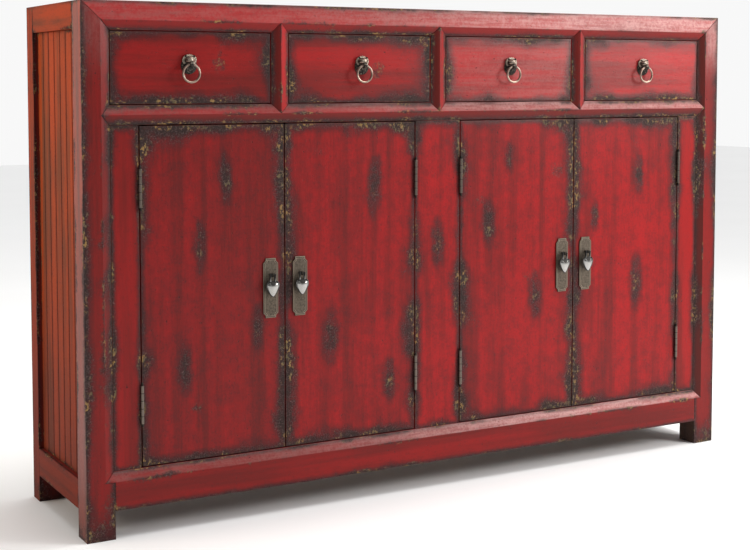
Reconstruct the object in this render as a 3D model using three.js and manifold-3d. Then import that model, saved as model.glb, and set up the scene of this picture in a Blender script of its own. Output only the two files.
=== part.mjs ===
// A red-lacquered sideboard of the kind made in northern China: four drawers over two pairs of doors,
// in a mitred case of posts and rails that stands on its own plain feet.
// Millimetres. +Z is up, +X is the viewer's right, and the front faces -Y.
// The origin is on the floor, at the middle of the whole piece, pulls included.
import * as THREE from "three";
import { mergeVertices } from "three/addons/utils/BufferGeometryUtils.js";
import Module from "manifold-3d";

// ---- The case ----
const WIDTH = 1575;
const DEPTH = 356; // of the woodwork
const HEIGHT = 1029;
const JOINT_GAP = 0.3; // between pieces that touch
const ROOT_TWO = Math.SQRT2;

const POST_WIDTH = 57;
const POST_FLAT = 38; // the rest of the post's face is a bevel down to the doors
const FRONT_POST_DEPTH = 52;
const BACK_POST_DEPTH = 43;
const FACE_SETBACK = 8.5; // the doors and drawers lie this far behind the ridges
const RIDGE_HALF = POST_WIDTH - POST_FLAT; // half the width of a ridged bar
const BAR_DEPTH = 30;

const TOP_RAIL_FLAT = 36;
const TOP_RAIL_BOTTOM = HEIGHT - TOP_RAIL_FLAT - RIDGE_HALF;
const MID_RIDGE = 813; // height of the ridge between the drawers and the doors
const FOOT_HEIGHT = 55; // clear space under the case
const BOTTOM_RAIL_ARRIS = 111;
const BOTTOM_RAIL_TOP = BOTTOM_RAIL_ARRIS + RIDGE_HALF;
const SIDE_TOP_RAIL_HEIGHT = 53;
const SIDE_BOTTOM_RAIL_TOP = 113;
const RAIL_THICKNESS = 30;
const TOP_FLANGE = 20;
const TOP_BOARD = 18;

const SIDE_PANEL_SETBACK = 10;
const SIDE_PANEL_THICKNESS = 12;
const SIDE_BOARDS = 7;
const BOARD_GROOVE = 2;
const BACK_PANEL_SETBACK = 6;
const BACK_PANEL_THICKNESS = 10;
const BACK_PANEL_BOTTOM = 70;

// ---- The drawers ----
const DRAWERS = 4;
const DRAWER_OPENING = (WIDTH - 2 * POST_WIDTH - 2 * RIDGE_HALF * (DRAWERS - 1)) / DRAWERS;
const DRAWER_PITCH = DRAWER_OPENING + 2 * RIDGE_HALF;
const DRAWER_GAP = 1.6;
const DRAWER_FRONT_THICKNESS = 18;
const DECK_THICKNESS = 12;
const TRAY_WIDTH = DRAWER_OPENING - 6;
const TRAY_LENGTH = 285;
const TRAY_HEIGHT = 118;
const TRAY_WALL = 10;
const TRAY_BOTTOM = 7;
const GUIDE_HEIGHT = 20;

// ---- The drawer pulls: a cast mask that holds a ring in its mouth ----
const PULL_SHIFTS = [-8, 0, 0, 0]; // the first pull was fixed a little off its drawer's middle
const PULL_HEIGHT = 909.5; // of the ring's pivot
const RING_RADIUS = 17.2;
const RING_WIRE = 2.25;
const RING_CLEARANCE = 0.4;
const RING_STANDOFF = 14.5; // from the drawer's face to the ring
const PULL_PLATE_RADIUS = 16.5;
const PULL_PLATE_THICKNESS = 2.5;
const PULL_PLATE_DROP = 2.5; // of the plate's middle below the pivot
const JAW_RADIUS = 6;
const JAW_HALF_WIDTH = 4;
const HEAD_HALF_WIDTH = 12;
const HEAD_HALF_HEIGHT = 10.5;
const HEAD_RISE = 9.5; // of the head's middle above the pivot

// ---- The doors ----
const DOOR_GAP = 2.2;
const DOOR_THICKNESS = 20;
const STILE_THICKNESS = 20;
const SIDE_STILE_WIDTH = 56.6;
const CENTRE_STILE_HALF = 56;
const DOOR_SPACE = WIDTH / 2 - POST_WIDTH - SIDE_STILE_WIDTH - CENTRE_STILE_HALF; // one pair's opening
const DOOR_WIDTH = (DOOR_SPACE - 3 * DOOR_GAP) / 2;
const DOOR_TOP = MID_RIDGE - RIDGE_HALF - DOOR_GAP;
const DOOR_BOTTOM = BOTTOM_RAIL_TOP + DOOR_GAP;
const BATTEN_HEIGHT = 60;
const BATTEN_THICKNESS = 10;
const BATTEN_INSET = 25; // of a batten's end from the door's edge
const SHELF_BOTTOM = 452;
const SHELF_THICKNESS = 16;
const SHELF_FRONT_SETBACK = 80;
const BEARER_HEIGHT = 24;
const BEARER_WIDTH = 18;

// ---- The door hinges: slim barrels that stand in front of the gap ----
const HINGE_HEIGHTS = { upper: 673, lower: 254 };
const BARREL_LENGTH = 88;
const BARREL_RADIUS = 3.3;
const BARREL_PROUD = 4; // of the barrel's axis in front of the door's face
const LEAF_THICKNESS = 0.9;
const LEAF_DEPTH = 16;

// ---- The door plates and their drop pulls ----
const PLATE_WIDTH = 33;
const PLATE_HEIGHT = 121;
const PLATE_THICKNESS = 2.5;
const PLATE_MIDDLE = 461;
const PLATE_FROM_EDGE = 33; // the plate's middle from the line where the two doors meet
const PLATE_EAR = 5;
const DROP_PIVOT = 488;
const DROP_STANDOFF = 12; // from the door's face to the pull's pivot
const DROP_LENGTH = 44;
const DROP_HALF_WIDTH = 14.5;
const DROP_SHOULDER = 11;
const DROP_THICKNESS = 9;
const EYE_HALF_WIDTH = 2.5;
const EYE_RADIUS = 4;
const PRONG_WIDTH = 3.4;
const PRONG_FROM_MIDDLE = 5.4;
const PRONG_RADIUS = 2.6;
const PIN_RADIUS = 1.5;

// ---- Front and back ----
const PULL_REACH = RING_STANDOFF + JOINT_GAP + JAW_RADIUS - FACE_SETBACK; // in front of the woodwork
const FRONT = (PULL_REACH - DEPTH) / 2; // y of the front plane, which all the ridges reach
const BACK = FRONT + DEPTH;

const LEFT = -1;
const RIGHT = 1;

const FINISHES = {
  lacquer: { color: 0x8f1d1a, roughness: 0.42, metalness: 0 },
  bare_wood: { color: 0x7a5a3c, roughness: 0.8, metalness: 0 },
  dark_bronze: { color: 0x3d352c, roughness: 0.45, metalness: 0.9 },
  pale_brass: { color: 0xc8b096, roughness: 0.3, metalness: 1 },
  aged_brass: { color: 0x6a5a3c, roughness: 0.5, metalness: 0.9 },
  pewter: { color: 0xb8b6b0, roughness: 0.25, metalness: 1 },
};

const wasm = await Module();
wasm.setup();

// ---- Solids ----

function solidOf(geometry) {
  const bare = geometry.index ? geometry.toNonIndexed() : geometry.clone();
  bare.deleteAttribute("normal");
  bare.deleteAttribute("uv");
  const merged = mergeVertices(bare, 1e-4);
  return new wasm.Manifold(
    new wasm.Mesh({
      numProp: 3,
      vertProperties: merged.attributes.position.array,
      triVerts: new Uint32Array(merged.index.array),
    }),
  );
}

function geometryOf(solid) {
  const mesh = solid.getMesh();
  const geometry = new THREE.BufferGeometry();
  geometry.setAttribute("position", new THREE.BufferAttribute(mesh.vertProperties, 3));
  geometry.setIndex(new THREE.BufferAttribute(mesh.triVerts, 1));
  geometry.computeVertexNormals();
  return geometry;
}

function block(x0, x1, y0, y1, z0, z1) {
  const box = new THREE.BoxGeometry(Math.abs(x1 - x0), y1 - y0, z1 - z0);
  return solidOf(box.translate((x0 + x1) / 2, (y0 + y1) / 2, (z0 + z1) / 2));
}

function extrusion(outline, depth) {
  const shape = new THREE.Shape(outline.map(([a, b]) => new THREE.Vector2(a, b)));
  return new THREE.ExtrudeGeometry(shape, { depth, bevelEnabled: false });
}

// An outline of [y, z] points, carried along X.
function alongX(outline, x0, x1) {
  const toWorld = new THREE.Matrix4().makeBasis(
    new THREE.Vector3(0, 1, 0),
    new THREE.Vector3(0, 0, 1),
    new THREE.Vector3(1, 0, 0),
  );
  return solidOf(extrusion(outline, x1 - x0).applyMatrix4(toWorld).translate(x0, 0, 0));
}

// An outline of [x, z] points, carried along Y.
function alongY(outline, y0, y1) {
  return solidOf(extrusion(outline, y1 - y0).rotateX(Math.PI / 2).translate(0, y1, 0));
}

// An outline of [x, y] points, carried along Z.
function alongZ(outline, z0, z1) {
  return solidOf(extrusion(outline, z1 - z0).translate(0, 0, z0));
}

function rodAlongX(radius, x0, x1, y, z, sides) {
  const rod = new THREE.CylinderGeometry(radius, radius, x1 - x0, sides);
  return solidOf(rod.rotateZ(Math.PI / 2).translate((x0 + x1) / 2, y, z));
}

// The x of a point that lies inward by this much from the end of the case.
function fromEnd(side, inward) {
  return side * (WIDTH / 2 - inward);
}

// A bar seen from its broad side, with both ends cut to a right-angled point.
// grow moves every edge outward, for the notch that takes the point.
function pointedBar(low, high, middle, half, grow) {
  const tip = grow * ROOT_TWO;
  const shoulder = half + grow - tip;
  return [
    [low - tip, middle],
    [low + shoulder, middle + half + grow],
    [high - shoulder, middle + half + grow],
    [high + tip, middle],
    [high - shoulder, middle - half - grow],
    [low + shoulder, middle - half - grow],
  ];
}

function swapped(outline) {
  return outline.map(([a, b]) => [b, a]);
}

function midRailOutline(grow) {
  const end = WIDTH / 2 - POST_FLAT;
  return pointedBar(-end, end, MID_RIDGE, RIDGE_HALF, grow);
}

function dividerOutline(x, grow) {
  return swapped(pointedBar(MID_RIDGE, HEIGHT - TOP_RAIL_FLAT, x, RIDGE_HALF, grow));
}

function dividerPlaces() {
  return [-DRAWER_PITCH, 0, DRAWER_PITCH];
}

// ---- The frame ----

// A front post: square below the bottom rail's arris and bevelled above it, mitred to the top rail.
function frontPost(side) {
  const x = (inward) => fromEnd(side, inward);
  const face = [
    [x(0), 0],
    [x(0), HEIGHT],
    [x(POST_FLAT), HEIGHT - TOP_RAIL_FLAT],
    [x(POST_WIDTH), TOP_RAIL_BOTTOM],
    [x(POST_WIDTH), 0],
  ];
  const beyond = POST_WIDTH + 1;
  const slope = FACE_SETBACK / RIDGE_HALF;
  const bevel = [
    [x(POST_FLAT), FRONT],
    [x(beyond), FRONT + slope * (RIDGE_HALF + 1)],
    [x(beyond), FRONT - 1],
    [x(POST_FLAT), FRONT - 1],
  ];
  const tongue = [
    [x(POST_FLAT - JOINT_GAP * (1 + ROOT_TWO)), BOTTOM_RAIL_ARRIS - JOINT_GAP],
    [x(beyond), BOTTOM_RAIL_ARRIS - JOINT_GAP],
    [x(beyond), BOTTOM_RAIL_TOP + 1 + JOINT_GAP * ROOT_TWO],
  ];
  const notchBack = FRONT + BAR_DEPTH + JOINT_GAP;
  return alongY(face, FRONT, FRONT + FRONT_POST_DEPTH)
    .subtract(alongZ(bevel, BOTTOM_RAIL_ARRIS, HEIGHT + 1))
    .subtract(alongY(midRailOutline(JOINT_GAP), FRONT - 1, notchBack))
    .subtract(alongY(tongue, FRONT - 1, notchBack));
}

function backPost(side) {
  return block(fromEnd(side, 0), fromEnd(side, POST_WIDTH), BACK - BACK_POST_DEPTH, BACK, 0, HEIGHT);
}

// The top rail's ends follow the posts' mitres, and its lower edge takes the dividers' points.
function topRail() {
  const end = WIDTH / 2 - JOINT_GAP * ROOT_TWO;
  const corners = [
    [end, HEIGHT],
    [end - POST_FLAT, HEIGHT - TOP_RAIL_FLAT],
    [end - POST_WIDTH, TOP_RAIL_BOTTOM],
  ];
  const mirrored = corners.map(([x, z]) => [-x, z]).reverse();
  const section = [
    [FRONT, HEIGHT],
    [FRONT, HEIGHT - TOP_RAIL_FLAT],
    [FRONT + FACE_SETBACK, TOP_RAIL_BOTTOM],
    [FRONT + FRONT_POST_DEPTH, TOP_RAIL_BOTTOM],
    [FRONT + FRONT_POST_DEPTH, HEIGHT],
  ];
  let rail = alongX(section, -WIDTH / 2, WIDTH / 2).intersect(
    alongY([...corners, ...mirrored], FRONT - 1, BACK),
  );
  for (const x of dividerPlaces())
    rail = rail.subtract(alongY(dividerOutline(x, JOINT_GAP), FRONT - 1, FRONT + BAR_DEPTH + JOINT_GAP));
  return rail;
}

function midRail() {
  const section = [
    [FRONT, MID_RIDGE],
    [FRONT + FACE_SETBACK, MID_RIDGE + RIDGE_HALF],
    [FRONT + BAR_DEPTH, MID_RIDGE + RIDGE_HALF],
    [FRONT + BAR_DEPTH, MID_RIDGE - RIDGE_HALF],
    [FRONT + FACE_SETBACK, MID_RIDGE - RIDGE_HALF],
  ];
  let rail = alongX(section, -WIDTH / 2, WIDTH / 2).intersect(alongY(midRailOutline(0), FRONT - 1, BACK));
  for (const x of dividerPlaces())
    rail = rail.subtract(alongY(dividerOutline(x, JOINT_GAP), FRONT - 1, FRONT + BAR_DEPTH + JOINT_GAP));
  return rail;
}

// The bottom rail runs between the posts, and its bevel goes on over them in a pointed tongue at each end.
function bottomRail() {
  const inner = WIDTH / 2 - POST_WIDTH - JOINT_GAP;
  const tip = WIDTH / 2 - POST_FLAT;
  const corners = [
    [inner, FOOT_HEIGHT],
    [inner, BOTTOM_RAIL_ARRIS],
    [tip, BOTTOM_RAIL_ARRIS],
    [tip - RIDGE_HALF, BOTTOM_RAIL_TOP],
  ];
  const mirrored = corners.map(([x, z]) => [-x, z]).reverse();
  const section = [
    [FRONT, FOOT_HEIGHT],
    [FRONT, BOTTOM_RAIL_ARRIS],
    [FRONT + FACE_SETBACK, BOTTOM_RAIL_TOP],
    [FRONT + BAR_DEPTH, BOTTOM_RAIL_TOP],
    [FRONT + BAR_DEPTH, FOOT_HEIGHT],
  ];
  return alongX(section, -WIDTH / 2, WIDTH / 2).intersect(
    alongY([...corners, ...mirrored], FRONT - 1, BACK),
  );
}

// A ridged divider between two drawers, with the guide that keeps them apart running back from it.
function divider(x) {
  const section = [
    [x, FRONT],
    [x + RIDGE_HALF, FRONT + FACE_SETBACK],
    [x + RIDGE_HALF, FRONT + BAR_DEPTH],
    [x - RIDGE_HALF, FRONT + BAR_DEPTH],
    [x - RIDGE_HALF, FRONT + FACE_SETBACK],
  ];
  const floor = MID_RIDGE + RIDGE_HALF + JOINT_GAP;
  const guideEnd = BACK - BACK_PANEL_SETBACK - BACK_PANEL_THICKNESS - 2 * JOINT_GAP;
  const guide = block(
    x - RIDGE_HALF + 1,
    x + RIDGE_HALF - 1,
    FRONT + BAR_DEPTH - 1,
    guideEnd,
    floor,
    floor + GUIDE_HEIGHT,
  );
  return alongZ(section, MID_RIDGE, HEIGHT - TOP_RAIL_FLAT)
    .intersect(alongY(dividerOutline(x, 0), FRONT - 1, BACK))
    .add(guide);
}

function stile(x0, x1) {
  return block(
    x0,
    x1,
    FRONT + FACE_SETBACK,
    FRONT + FACE_SETBACK + STILE_THICKNESS,
    BOTTOM_RAIL_TOP + JOINT_GAP,
    MID_RIDGE - RIDGE_HALF - JOINT_GAP,
  );
}

const SIDE_START = FRONT + FRONT_POST_DEPTH + JOINT_GAP;
const SIDE_END = BACK - BACK_POST_DEPTH - JOINT_GAP;

// A side's top rail carries a flange that the top board lies against.
function sideTopRail(side) {
  const x = (inward) => fromEnd(side, inward);
  const flange = block(x(0), x(POST_WIDTH), SIDE_START, SIDE_END, HEIGHT - TOP_FLANGE, HEIGHT);
  return flange.add(
    block(x(0), x(RAIL_THICKNESS), SIDE_START, SIDE_END, HEIGHT - SIDE_TOP_RAIL_HEIGHT, HEIGHT),
  );
}

function sideBottomRail(side) {
  const inner = fromEnd(side, RAIL_THICKNESS);
  return block(fromEnd(side, 0), inner, SIDE_START, SIDE_END, FOOT_HEIGHT, SIDE_BOTTOM_RAIL_TOP);
}

const PANEL_INNER = SIDE_PANEL_SETBACK + SIDE_PANEL_THICKNESS;

// Upright boards with a groove where two of them meet, a bearer under the shelf and a guide for the end drawer.
function sidePanel(side) {
  const x = (inward) => fromEnd(side, inward);
  const pitch = (SIDE_END - SIDE_START) / SIDE_BOARDS;
  const outline = [[x(SIDE_PANEL_SETBACK), SIDE_START]];
  for (let board = 1; board < SIDE_BOARDS; board++) {
    const y = SIDE_START + board * pitch;
    outline.push([x(SIDE_PANEL_SETBACK), y - BOARD_GROOVE]);
    outline.push([x(SIDE_PANEL_SETBACK + BOARD_GROOVE), y]);
    outline.push([x(SIDE_PANEL_SETBACK), y + BOARD_GROOVE]);
  }
  outline.push([x(SIDE_PANEL_SETBACK), SIDE_END], [x(PANEL_INNER), SIDE_END], [x(PANEL_INNER), SIDE_START]);
  const bottom = SIDE_BOTTOM_RAIL_TOP + JOINT_GAP;
  const top = HEIGHT - SIDE_TOP_RAIL_HEIGHT - JOINT_GAP;
  const bearerTop = SHELF_BOTTOM - JOINT_GAP;
  const guideBottom = MID_RIDGE + RIDGE_HALF + JOINT_GAP;
  const into = PANEL_INNER - 1;
  return alongZ(outline, bottom, top)
    .add(
      block(
        x(into),
        x(PANEL_INNER + BEARER_WIDTH),
        SIDE_START,
        SIDE_END,
        bearerTop - BEARER_HEIGHT,
        bearerTop,
      ),
    )
    .add(block(x(into), x(POST_WIDTH), SIDE_START, SIDE_END, guideBottom, guideBottom + GUIDE_HEIGHT));
}

function topPanel() {
  const half = WIDTH / 2 - POST_WIDTH - JOINT_GAP;
  return block(-half, half, SIDE_START, BACK, HEIGHT - TOP_BOARD, HEIGHT);
}

function backPanel() {
  const half = WIDTH / 2 - POST_WIDTH - JOINT_GAP;
  const outer = BACK - BACK_PANEL_SETBACK;
  const top = HEIGHT - TOP_BOARD - JOINT_GAP;
  return block(-half, half, outer - BACK_PANEL_THICKNESS, outer, BACK_PANEL_BOTTOM, top);
}

// A board that fills the case from side to side, cut round whichever posts it reaches.
function insideBoard(front, bottom, top) {
  const back = BACK - BACK_PANEL_SETBACK - BACK_PANEL_THICKNESS - JOINT_GAP;
  const wide = WIDTH / 2 - PANEL_INNER - JOINT_GAP;
  const narrow = WIDTH / 2 - POST_WIDTH - JOINT_GAP;
  const half = [
    [narrow, back],
    [narrow, SIDE_END],
    [wide, SIDE_END],
  ];
  if (front < SIDE_START) half.push([wide, SIDE_START], [narrow, SIDE_START], [narrow, front]);
  else half.push([wide, front]);
  const mirrored = half.map(([x, y]) => [-x, y]).reverse();
  return alongZ([...half, ...mirrored], bottom, top);
}

// ---- The hinges, drawn about their own axis with the leaf running back between stile and door ----

function hinge(towardStile) {
  const half = BARREL_LENGTH / 2;
  const profile = [
    [0, -half],
    [BARREL_RADIUS * 0.6, -half + 0.6],
    [BARREL_RADIUS, -half + 3],
    [BARREL_RADIUS, half - 3],
    [BARREL_RADIUS * 0.6, half - 0.6],
    [0, half],
  ];
  const barrel = new THREE.LatheGeometry(profile.map(([r, h]) => new THREE.Vector2(r, h)), 12);
  const near = towardStile * (DOOR_GAP / 2 - JOINT_GAP);
  const far = near - towardStile * LEAF_THICKNESS;
  const leafEnd = BARREL_PROUD + LEAF_DEPTH;
  return solidOf(barrel.rotateX(Math.PI / 2)).add(
    block(Math.min(near, far), Math.max(near, far), 0, leafEnd, -half + 4, half - 4),
  );
}

// ---- The drawers, drawn about the middle of the front's lower edge, on the face ----

const DRAWER_FLOOR = MID_RIDGE + RIDGE_HALF;

function drawerFront() {
  const half = DRAWER_OPENING / 2 - DRAWER_GAP;
  const height = TOP_RAIL_BOTTOM - DRAWER_FLOOR;
  return block(-half, half, 0, DRAWER_FRONT_THICKNESS, DRAWER_GAP, height - DRAWER_GAP);
}

function drawerBox() {
  const half = TRAY_WIDTH / 2;
  const start = DRAWER_FRONT_THICKNESS + JOINT_GAP;
  const end = start + TRAY_LENGTH;
  const bottom = 2 * JOINT_GAP;
  const hollow = block(
    -half + TRAY_WALL,
    half - TRAY_WALL,
    start + TRAY_WALL,
    end - TRAY_WALL,
    bottom + TRAY_BOTTOM,
    bottom + TRAY_HEIGHT + 1,
  );
  return block(-half, half, start, end, bottom, bottom + TRAY_HEIGHT).subtract(hollow);
}

// The space that the ring sweeps near its pivot, as a solid turned about the pivot's axis.
function ringSweep() {
  const steps = 8;
  const reach = HEAD_HALF_WIDTH + 2;
  const profile = [new THREE.Vector2(0, -reach)];
  for (let step = 0; step <= steps; step++) {
    const x = reach * ((2 * step) / steps - 1);
    const fall = RING_RADIUS - Math.sqrt(RING_RADIUS ** 2 - x ** 2);
    profile.push(new THREE.Vector2(fall + RING_WIRE + RING_CLEARANCE, x));
  }
  profile.push(new THREE.Vector2(0, reach));
  return solidOf(new THREE.LatheGeometry(profile, 16).rotateZ(-Math.PI / 2));
}

// The mask, drawn about the ring's pivot: a round plate, a head, and a jaw that the ring passes through.
function pullMask() {
  const plateFront = RING_STANDOFF - PULL_PLATE_THICKNESS;
  const rim = PULL_PLATE_RADIUS - 1.5;
  const plate = new THREE.CylinderGeometry(PULL_PLATE_RADIUS, rim, PULL_PLATE_THICKNESS, 20);
  plate.translate(0, plateFront + PULL_PLATE_THICKNESS / 2, -PULL_PLATE_DROP);
  const headReach = plateFront + JAW_RADIUS;
  const head = new THREE.SphereGeometry(1, 14, 10);
  head.scale(HEAD_HALF_WIDTH, headReach, HEAD_HALF_HEIGHT).translate(0, plateFront, HEAD_RISE);
  const frontHalf = block(-50, 50, -50, plateFront + 1, -50, 50);
  const jaw = rodAlongX(JAW_RADIUS, -JAW_HALF_WIDTH, JAW_HALF_WIDTH, 0, 0, 16);
  const neck = block(-JAW_HALF_WIDTH, JAW_HALF_WIDTH, 0, plateFront + 1, -JAW_RADIUS * 0.7, JAW_RADIUS);
  return solidOf(plate)
    .add(solidOf(head).intersect(frontHalf))
    .add(jaw)
    .add(neck)
    .subtract(ringSweep());
}

function pullRing() {
  const ring = new THREE.TorusGeometry(RING_RADIUS, RING_WIRE, 8, 28);
  return solidOf(ring.rotateX(Math.PI / 2).translate(0, 0, -RING_RADIUS));
}

// ---- The doors, drawn about the hinge's axis, reaching out to one side ----

const NEAR_EDGE = DOOR_GAP / 2;
const FAR_EDGE = NEAR_EDGE + DOOR_WIDTH;

function doorSlab(reach) {
  const front = BARREL_PROUD;
  const back = front + DOOR_THICKNESS;
  let door = block(reach * NEAR_EDGE, reach * FAR_EDGE, front, back, DOOR_BOTTOM, DOOR_TOP);
  for (const z of [DOOR_BOTTOM + BATTEN_HEIGHT, DOOR_TOP - 2 * BATTEN_HEIGHT])
    door = door.add(
      block(
        reach * (NEAR_EDGE + BATTEN_INSET),
        reach * (FAR_EDGE - BATTEN_INSET),
        back - 1,
        back + BATTEN_THICKNESS,
        z,
        z + BATTEN_HEIGHT,
      ),
    );
  return door;
}

// The plate, drawn about the pull's pivot: notched corners, and an eye that stands out to hold the pull's pin.
function doorPlate() {
  const half = PLATE_WIDTH / 2;
  const quarter = [
    [half, PLATE_HEIGHT / 2 - 2 * PLATE_EAR],
    [half - PLATE_EAR, PLATE_HEIGHT / 2 - PLATE_EAR],
    [half - PLATE_EAR, PLATE_HEIGHT / 2],
  ];
  const upper = [...quarter, ...quarter.map(([x, z]) => [-x, z]).reverse()];
  const outline = [...upper, ...upper.map(([x, z]) => [-x, -z])];
  const drop = PLATE_MIDDLE - DROP_PIVOT;
  const lowered = outline.map(([x, z]) => [x, z + drop]);
  const plate = alongY(lowered, DROP_STANDOFF - PLATE_THICKNESS, DROP_STANDOFF);
  const eye = rodAlongX(EYE_RADIUS, -EYE_HALF_WIDTH, EYE_HALF_WIDTH, 0, 0, 14);
  const stem = block(-EYE_HALF_WIDTH, EYE_HALF_WIDTH, 0, DROP_STANDOFF - 1, -EYE_RADIUS, EYE_RADIUS);
  const hole = rodAlongX(PIN_RADIUS + JOINT_GAP, -EYE_HALF_WIDTH - 1, EYE_HALF_WIDTH + 1, 0, 0, 12);
  return plate.add(eye).add(stem).subtract(hole);
}

// The pull hangs from a pin between two prongs: a leaf-shaped drop, wide at the shoulder and pointed below.
function doorDrop() {
  const leaf = new THREE.Shape();
  leaf.moveTo(0, -DROP_LENGTH);
  leaf.bezierCurveTo(3, -DROP_LENGTH, DROP_HALF_WIDTH, -DROP_LENGTH / 2, DROP_HALF_WIDTH, -20);
  leaf.bezierCurveTo(DROP_HALF_WIDTH, -14, 10, -DROP_SHOULDER, 6, -DROP_SHOULDER);
  leaf.lineTo(-6, -DROP_SHOULDER);
  leaf.bezierCurveTo(-10, -DROP_SHOULDER, -DROP_HALF_WIDTH, -14, -DROP_HALF_WIDTH, -20);
  leaf.bezierCurveTo(-DROP_HALF_WIDTH, -DROP_LENGTH / 2, -3, -DROP_LENGTH, 0, -DROP_LENGTH);
  const bevel = DROP_THICKNESS / 3;
  const body = new THREE.ExtrudeGeometry(leaf, {
    depth: DROP_THICKNESS - 2 * bevel,
    bevelThickness: bevel,
    bevelSize: bevel,
    bevelOffset: -bevel,
    bevelSegments: 1,
    curveSegments: 5,
  });
  body.rotateX(Math.PI / 2).translate(0, DROP_THICKNESS / 2 - bevel, 0);
  let drop = solidOf(body);
  for (const side of [LEFT, RIGHT]) {
    const x0 = side * PRONG_FROM_MIDDLE - PRONG_WIDTH / 2;
    const x1 = x0 + PRONG_WIDTH;
    drop = drop
      .add(block(x0, x1, -PRONG_RADIUS, PRONG_RADIUS, -DROP_SHOULDER - 2, 0))
      .add(rodAlongX(PRONG_RADIUS, x0, x1, 0, 0, 10));
  }
  return drop.add(rodAlongX(PIN_RADIUS, -PRONG_FROM_MIDDLE, PRONG_FROM_MIDDLE, 0, 0, 8));
}

// ---- Assembly ----

const sideboard = new THREE.Group();

function addPiece(parent, name, solid, finish, x = 0, y = 0, z = 0) {
  const material = new THREE.MeshStandardMaterial({ ...FINISHES[finish], flatShading: true });
  const mesh = new THREE.Mesh(geometryOf(solid), material);
  mesh.name = name;
  mesh.position.set(x, y, z);
  parent.add(mesh);
}

function addCase() {
  for (const [name, side] of [
    ["left", LEFT],
    ["right", RIGHT],
  ]) {
    addPiece(sideboard, "post_front_" + name, frontPost(side), "lacquer");
    addPiece(sideboard, "post_back_" + name, backPost(side), "lacquer");
    addPiece(sideboard, "side_rail_top_" + name, sideTopRail(side), "lacquer");
    addPiece(sideboard, "side_rail_bottom_" + name, sideBottomRail(side), "lacquer");
    addPiece(sideboard, "side_panel_" + name, sidePanel(side), "lacquer");
    const edges = [
      fromEnd(side, POST_WIDTH + JOINT_GAP),
      fromEnd(side, POST_WIDTH + SIDE_STILE_WIDTH),
    ];
    addPiece(sideboard, "stile_" + name, stile(Math.min(...edges), Math.max(...edges)), "lacquer");
  }
  addPiece(sideboard, "stile_centre", stile(-CENTRE_STILE_HALF, CENTRE_STILE_HALF), "lacquer");
  addPiece(sideboard, "top_rail_front", topRail(), "lacquer");
  addPiece(sideboard, "mid_rail_front", midRail(), "lacquer");
  addPiece(sideboard, "bottom_rail_front", bottomRail(), "lacquer");
  addPiece(sideboard, "top_panel", topPanel(), "lacquer");
  addPiece(sideboard, "back_panel", backPanel(), "bare_wood");
  for (const [i, name] of ["left", "centre", "right"].entries())
    addPiece(sideboard, "divider_" + name, divider(dividerPlaces()[i]), "lacquer");
  const boardFront = FRONT + BAR_DEPTH + JOINT_GAP;
  const floorBottom = SIDE_BOTTOM_RAIL_TOP + 2 * JOINT_GAP;
  const shelfFront = FRONT + SHELF_FRONT_SETBACK;
  const shelf = insideBoard(shelfFront, SHELF_BOTTOM, SHELF_BOTTOM + SHELF_THICKNESS);
  const deck = insideBoard(boardFront, DRAWER_FLOOR - DECK_THICKNESS, DRAWER_FLOOR);
  addPiece(sideboard, "cupboard_floor", insideBoard(boardFront, floorBottom, BOTTOM_RAIL_TOP), "bare_wood");
  addPiece(sideboard, "shelf", shelf, "bare_wood");
  addPiece(sideboard, "drawer_deck", deck, "bare_wood");
}

function addDrawers() {
  for (let i = 0; i < DRAWERS; i++) {
    const drawer = new THREE.Group();
    drawer.position.set((i - (DRAWERS - 1) / 2) * DRAWER_PITCH, FRONT + FACE_SETBACK, DRAWER_FLOOR);
    const pullRise = PULL_HEIGHT - DRAWER_FLOOR;
    addPiece(drawer, "drawer_front_" + (i + 1), drawerFront(), "lacquer");
    addPiece(drawer, "drawer_box_" + (i + 1), drawerBox(), "bare_wood");
    const maskBack = -RING_STANDOFF - JOINT_GAP;
    addPiece(drawer, "pull_mask_" + (i + 1), pullMask(), "dark_bronze", PULL_SHIFTS[i], maskBack, pullRise);
    addPiece(drawer, "pull_ring_" + (i + 1), pullRing(), "pale_brass", PULL_SHIFTS[i], maskBack, pullRise);
    sideboard.add(drawer);
  }
}

// Each pair of doors meets in the middle of its opening, and hangs from the stiles at its sides.
function addDoors() {
  const outer = WIDTH / 2 - POST_WIDTH - SIDE_STILE_WIDTH - DOOR_GAP / 2;
  const inner = CENTRE_STILE_HALF + DOOR_GAP / 2;
  const hung = [
    [-outer, RIGHT],
    [-inner, LEFT],
    [inner, RIGHT],
    [outer, LEFT],
  ];
  for (const [i, [axisX, reach]] of hung.entries()) {
    const door = new THREE.Group();
    const axisY = FRONT + FACE_SETBACK - BARREL_PROUD;
    door.position.set(axisX, axisY, 0);
    const plateX = reach * (FAR_EDGE + DOOR_GAP / 2 - PLATE_FROM_EDGE);
    const plateY = BARREL_PROUD - DROP_STANDOFF - JOINT_GAP;
    addPiece(door, "door_" + (i + 1), doorSlab(reach), "lacquer");
    addPiece(door, "door_plate_" + (i + 1), doorPlate(), "aged_brass", plateX, plateY, DROP_PIVOT);
    addPiece(door, "door_drop_" + (i + 1), doorDrop(), "pewter", plateX, plateY, DROP_PIVOT);
    sideboard.add(door);
    for (const [place, z] of Object.entries(HINGE_HEIGHTS))
      addPiece(sideboard, "hinge_" + (i + 1) + "_" + place, hinge(-reach), "dark_bronze", axisX, axisY, z);
  }
}

addCase();
addDrawers();
addDoors();

export default sideboard;
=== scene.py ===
"""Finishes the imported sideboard: worn red lacquer over softened boards, cast ring pulls, brass door plates
with drop pulls, turned hinge barrels, planked back and plain wood inside, on a pale studio floor."""

import math

import bmesh
import bpy
from mathutils import Matrix, Vector, noise
from mathutils.geometry import interpolate_bezier


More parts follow.
